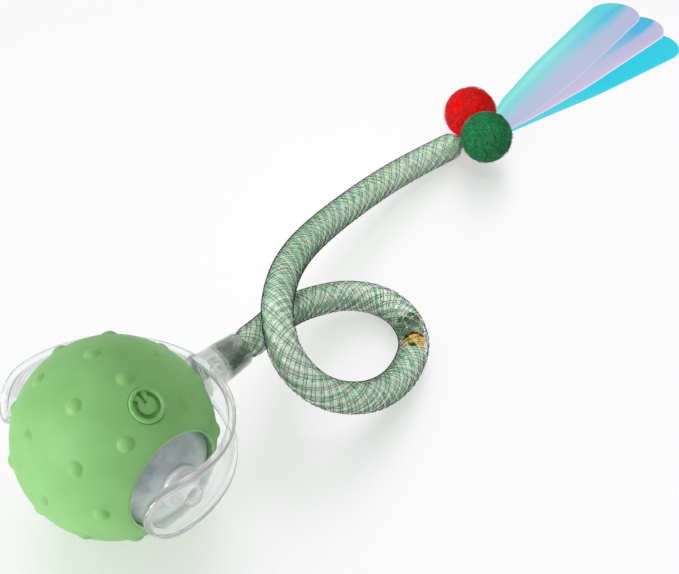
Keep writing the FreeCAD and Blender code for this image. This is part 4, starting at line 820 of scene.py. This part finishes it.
def petal(name, turned_by, reach, shoulder, layer):
    """One sheet of film with its across and along coordinates as UVs, and its area."""
    angle = math.radians(turned_by)
    ahead = np.array((-math.sin(angle), math.cos(angle)))
    aside = np.array((math.cos(angle), math.sin(angle)))
    share = np.linspace(0, 1, 90)
    distance = (-STEM + (reach + STEM) * np.sin(share * math.pi / 2))[:, None]
    side = np.linspace(-1, 1, 31)[None]
    half = half_width(distance, reach, shoulder)
    area = float(((half[1:] + half[:-1]) * np.diff(distance, axis=0)).sum())
    flat = MEET + distance[..., None] * ahead + (side * half)[..., None] * aside
    outward = np.hypot(*(flat - MEET).transpose(2, 0, 1))
    fan = np.degrees(np.arctan2(flat[..., 0] - MEET[0], flat[..., 1] - MEET[1]))
    ripple = 0.5 * np.exp(-outward / 60) * (1 + np.cos(np.radians(fan * 14)))
    up = 0.45 + 0.25 * layer + ripple * smooth_step(outward, 8, 20)
    points = np.concatenate([flat, up[..., None]], axis=-1)
    sheet = new_piece("film_petal_" + name, points, grid_faces(*up.shape))
    sheet.visible_shadow = sheet.visible_glossy = False
    layout = sheet.data.uv_layers.new(name="petal")
    spots = np.stack([(side + 1) / 2 + 0 * distance, (distance + STEM) / (reach + STEM) + 0 * side], -1)
    corner = np.zeros(len(sheet.data.loops), int)
    sheet.data.loops.foreach_get("vertex_index", corner)
    layout.data.foreach_set("uv", spots.reshape(-1, 2)[corner].ravel())
    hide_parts("film_strip_" + name)
    return sheet, area


petals, petal_areas = {}, {}
for name, facts in PETALS.items():
    petals[name], petal_areas[name] = petal(name, *facts)
print("petal areas in mm2", {name: round(area) for name, area in petal_areas.items()})


# %% Petal colours
def film_finish(name, over, tip, tip_start, edge):
    """Film whose colour runs over its width and changes towards its tip and its right edge."""
    finish = new_finish(name, Roughness=0.3, Metallic=0.85, Alpha=0.985)
    place = add_node(finish, "UVMap", uv_map="petal")
    parts = add_node(finish, "SeparateXYZ")
    streaks = add_node(finish, "Mapping", {"Scale": (5, 0.7, 1)})
    wave = add_node(finish, "TexNoise", {"Scale": 1.6, "Detail": 2.0})
    join(finish, place.outputs["UV"], parts.inputs["Vector"])
    join(finish, place.outputs["UV"], streaks.inputs["Vector"])
    join(finish, streaks.outputs["Vector"], wave.inputs["Vector"])
    across_value = add_node(finish, "Math", {2: -0.09}, operation="MULTIPLY_ADD")
    across_value.inputs[1].default_value = 0.18
    join(finish, wave.outputs["Fac"], across_value.inputs[0])
    summed = add_node(finish, "Math", operation="ADD")
    join(finish, parts.outputs["X"], summed.inputs[0])
    join(finish, across_value.outputs["Value"], summed.inputs[1])
    body_tone = ramp(finish, summed.outputs["Value"], over)
    tip_tone = ramp(finish, summed.outputs["Value"], tip)
    black, white = (0, 0, 0, 1), (1, 1, 1, 1)
    tip_share = ramp(finish, parts.outputs["Y"], [(tip_start, black), (tip_start + 0.3, white)])
    edge_share = ramp(finish, parts.outputs["X"], [(0.955, black), (0.99, white)])
    to_tip, to_edge = add_node(finish, "Mix", data_type="RGBA"), add_node(finish, "Mix", data_type="RGBA")
    join(finish, tip_share, to_tip.inputs["Factor"])
    join(finish, body_tone, to_tip.inputs["A"])
    join(finish, tip_tone, to_tip.inputs["B"])
    join(finish, edge_share, to_edge.inputs["Factor"])
    join(finish, to_tip.outputs["Result"], to_edge.inputs["A"])
    to_edge.inputs["B"].default_value = edge
    join(finish, to_edge.outputs["Result"], shader_of(finish).inputs["Base Color"])
    return finish


film_tones = {
    "left": ([(0.0, colour(108, 220, 222)), (0.14, colour(150, 236, 228)), (0.26, colour(130, 220, 224)),
              (0.42, colour(158, 210, 226)), (0.6, colour(184, 198, 224)), (1.0, colour(190, 196, 224))],
             [(0.0, colour(80, 216, 222)), (0.25, colour(96, 210, 226)), (0.4, colour(40, 198, 230)),
              (0.52, colour(130, 196, 226)), (0.66, colour(188, 190, 222)), (1.0, colour(180, 192, 224))],
             0.6, colour(206, 212, 234)),
    "middle": ([(0.0, colour(150, 202, 228)), (0.4, colour(180, 196, 226)), (0.8, colour(202, 194, 226)),
                (1.0, colour(214, 200, 230))],
               [(0.0, colour(40, 186, 226)), (0.54, colour(60, 186, 226)), (0.68, colour(186, 190, 224)),
                (1.0, colour(208, 188, 222))], 0.6, colour(255, 236, 248)),
    "right": ([(0.0, colour(96, 206, 222)), (0.5, colour(78, 208, 224)), (1.0, colour(92, 216, 228))],
              [(0.0, colour(0, 198, 226)), (0.5, colour(0, 206, 232)), (1.0, colour(0, 212, 234))],
              0.3, colour(90, 226, 236)),
}
for name, sheet in petals.items():
    dress(sheet, film_finish("film_" + name, *film_tones[name]))
print("film finishes", len(film_tones))

# %% [markdown]
# ## What stays from the model
# The shell, the bell, the motor, its gears, the cell and the boards are rigid and their shapes are
# right already. They keep the model's meshes and only get finishes: one per material slot, and one of
# its own for the ring in the socket, whose dull green-grey is painted shade and whose sparse gold
# spots are painted glints.

# %% Finishes of the kept nodes
finishes = {
    "shell_grey": mottled("grey_shell", colour(170, 186, 188), colour(226, 236, 234), 4.5, 0.03,
                          Roughness=0.28, Coat_Weight=0.4),
    "white_plastic": mottled("white_plastic", colour(216, 216, 210), colour(228, 228, 222), 5, 0.01,
                             Roughness=0.45),
    "steel": mottled("steel", colour(150, 152, 156), colour(186, 188, 192), 1.2, 0.005, (1, 1, 6),
                     Metallic=1.0, Roughness=0.28),
    "zinc_weight": mottled("zinc", colour(128, 130, 134), colour(156, 158, 164), 1.5, 0.03,
                           Metallic=1.0, Roughness=0.5),
    "gear_plastic": mottled("gear_plastic", colour(228, 222, 200), colour(238, 234, 216), 3, 0.01,
                            Roughness=0.4),
    "brass": mottled("gold_brass", colour(214, 164, 58), colour(250, 214, 120), 1.0, 0.01,
                     Metallic=1.0, Roughness=0.2),
    "black_plastic": mottled("black_plastic", colour(24, 24, 26), colour(40, 40, 44), 1.5, 0.01,
                             Roughness=0.5),
    "cell_wrap": mottled("cell_wrap", colour(38, 78, 140), colour(52, 96, 160), 6, 0.01, Roughness=0.3),
    "board_green": mottled("solder_mask", colour(14, 74, 42), colour(24, 96, 56), 0.8, 0.01,
                           Roughness=0.35, Coat_Weight=0.5),
    "led_lens": mottled("led_lens", colour(234, 234, 218), colour(246, 246, 236), 0.6, Roughness=0.1,
                        Transmission_Weight=0.6),
}
# The ring in the socket: dull green-grey painted shade, with sparse gold spots as painted glints.
ring_shade_and_glints = speckled("ring_painted_shade_and_glints", 1.3, 3, [
    (0.5, colour(116, 128, 108)), (0.62, colour(140, 148, 112)), (0.7, colour(246, 206, 104))],
    Metallic=1.0, Roughness=0.3)
kept = 0
for entry in frame["record"]["subparts"]:
    node = NODES[entry["node"]]
    if node.hide_render or entry["material_slot"] not in finishes:
        continue
    finish = ring_shade_and_glints if entry["node"] == "crimp_ring" else finishes[entry["material_slot"]]
    for place in range(len(node.data.materials)):
        node.material_slots[place].link = "OBJECT"
        node.material_slots[place].material = finish
    kept += 1
print("kept nodes with a finish:", kept)

# %% [markdown]
# ## Floor and light
# The photograph is a studio picture: white ground, a soft shadow and a blurred reflection under the
# toy. A pale floor that mixes a matt and a dull glossy shader gives both, and it is lifted towards white
# where it is looked at. One large soft lamp at the front left models the ball, a wide one above keeps the
# floor even, and a narrow one reaches the tail, which lies in the ball's shadow. The last two don't show
# in gloss, where they would turn the petals white. A white world fills in.

# %% Floor
def background_rays(owner):
    """1 for rays that see the background: from the camera, or by way of gloss or clear plastic."""
    rays = add_node(owner, "LightPath")
    value = rays.outputs["Is Camera Ray"]
    for kind in ("Is Glossy Ray", "Is Transmission Ray"):
        either = add_node(owner, "Math", operation="MAXIMUM")
        join(owner, value, either.inputs[0])
        join(owner, rays.outputs[kind], either.inputs[1])
        value = either.outputs["Value"]
    return value


floor_mesh = bpy.data.meshes.new("floor")
floor_mesh.from_pydata([(-6, -6, 0), (6, -6, 0), (6, 6, 0), (-6, 6, 0)], [], [(0, 1, 2, 3)])
floor = bpy.data.objects.new("floor", floor_mesh)
bpy.context.scene.collection.objects.link(floor)
pale = new_finish("pale_floor")
matt = add_node(pale, "BsdfDiffuse", {"Color": (0.96, 0.96, 0.96, 1)})
gloss = add_node(pale, "BsdfGlossy", {"Color": (1, 1, 1, 1), "Roughness": 0.45})
both = add_node(pale, "MixShader", {"Fac": 0.7})
glow = add_node(pale, "Emission", {"Color": (1, 1, 1, 1), "Strength": 1.0})
lifted = add_node(pale, "MixShader")
share = add_node(pale, "Math", {1: 0.55}, operation="MULTIPLY")
join(pale, matt.outputs["BSDF"], both.inputs[1])
join(pale, gloss.outputs["BSDF"], both.inputs[2])
join(pale, background_rays(pale), share.inputs[0])
join(pale, share.outputs["Value"], lifted.inputs["Fac"])
join(pale, both.outputs["Shader"], lifted.inputs[1])
join(pale, glow.outputs["Emission"], lifted.inputs[2])
join(pale, lifted.outputs["Shader"], pale.node_tree.nodes["Material Output"].inputs["Surface"])
pale.node_tree.nodes.remove(shader_of(pale))
floor_mesh.materials.append(pale)
print("floor ready")


# %% World and lamps
def lamp(name, place, target, side, watts):
    """A square soft lamp that looks at a point."""
    light = bpy.data.lights.new(name, "AREA")
    light.shape, light.size, light.energy = "SQUARE", side, watts
    made = bpy.data.objects.new(name, light)
    made.location = place
    made.rotation_euler = (Vector(target) - Vector(place)).to_track_quat("-Z", "Y").to_euler()
    bpy.context.scene.collection.objects.link(made)
    return made


world = bpy.data.worlds.new("studio")
bpy.context.scene.world = world
world.use_nodes = True
fill = world.node_tree.nodes["Background"]
fill.inputs["Color"].default_value = (1, 1, 1, 1)
fill.inputs["Strength"].default_value = 0.3
seen = add_node(world, "Background", {"Color": (1, 1, 1, 1)})
which = add_node(world, "MixShader")
join(world, background_rays(world), which.inputs["Fac"])
join(world, fill.outputs["Background"], which.inputs[1])
join(world, seen.outputs["Background"], which.inputs[2])
join(world, which.outputs["Shader"], world.node_tree.nodes["World Output"].inputs["Surface"])
BALL_CENTRE = Vector((0, 0.02, 0.02))
key_way = (-across * 0.8 - level * 0.6 + Vector((0, 0, 0.34))).normalized()
top_way = (level * 0.3 + across * 0.2 + Vector((0, 0, 1))).normalized()
lamp("key_lamp", BALL_CENTRE + key_way * 2.4, BALL_CENTRE, 0.93, 35.0)
top_lamp = lamp("top_lamp", BALL_CENTRE + top_way * 2.2, BALL_CENTRE, 1.6, 8.0)
tail_lamp = lamp("tail_lamp", (-0.02, 0.14, 1.0), (-0.01, 0.13, 0), 0.15, 0.036)
tail_lamp.data.spread = math.radians(15)
top_lamp.visible_glossy = tail_lamp.visible_glossy = False
print("lamps 3")

# %% [markdown]
# The tail is a cord of fixed length that ends in a knot under the felt balls, and each petal is a
# sheet of known size.

# %% Tail and petals
print("declared the tail and", len(PETALS), "petals")
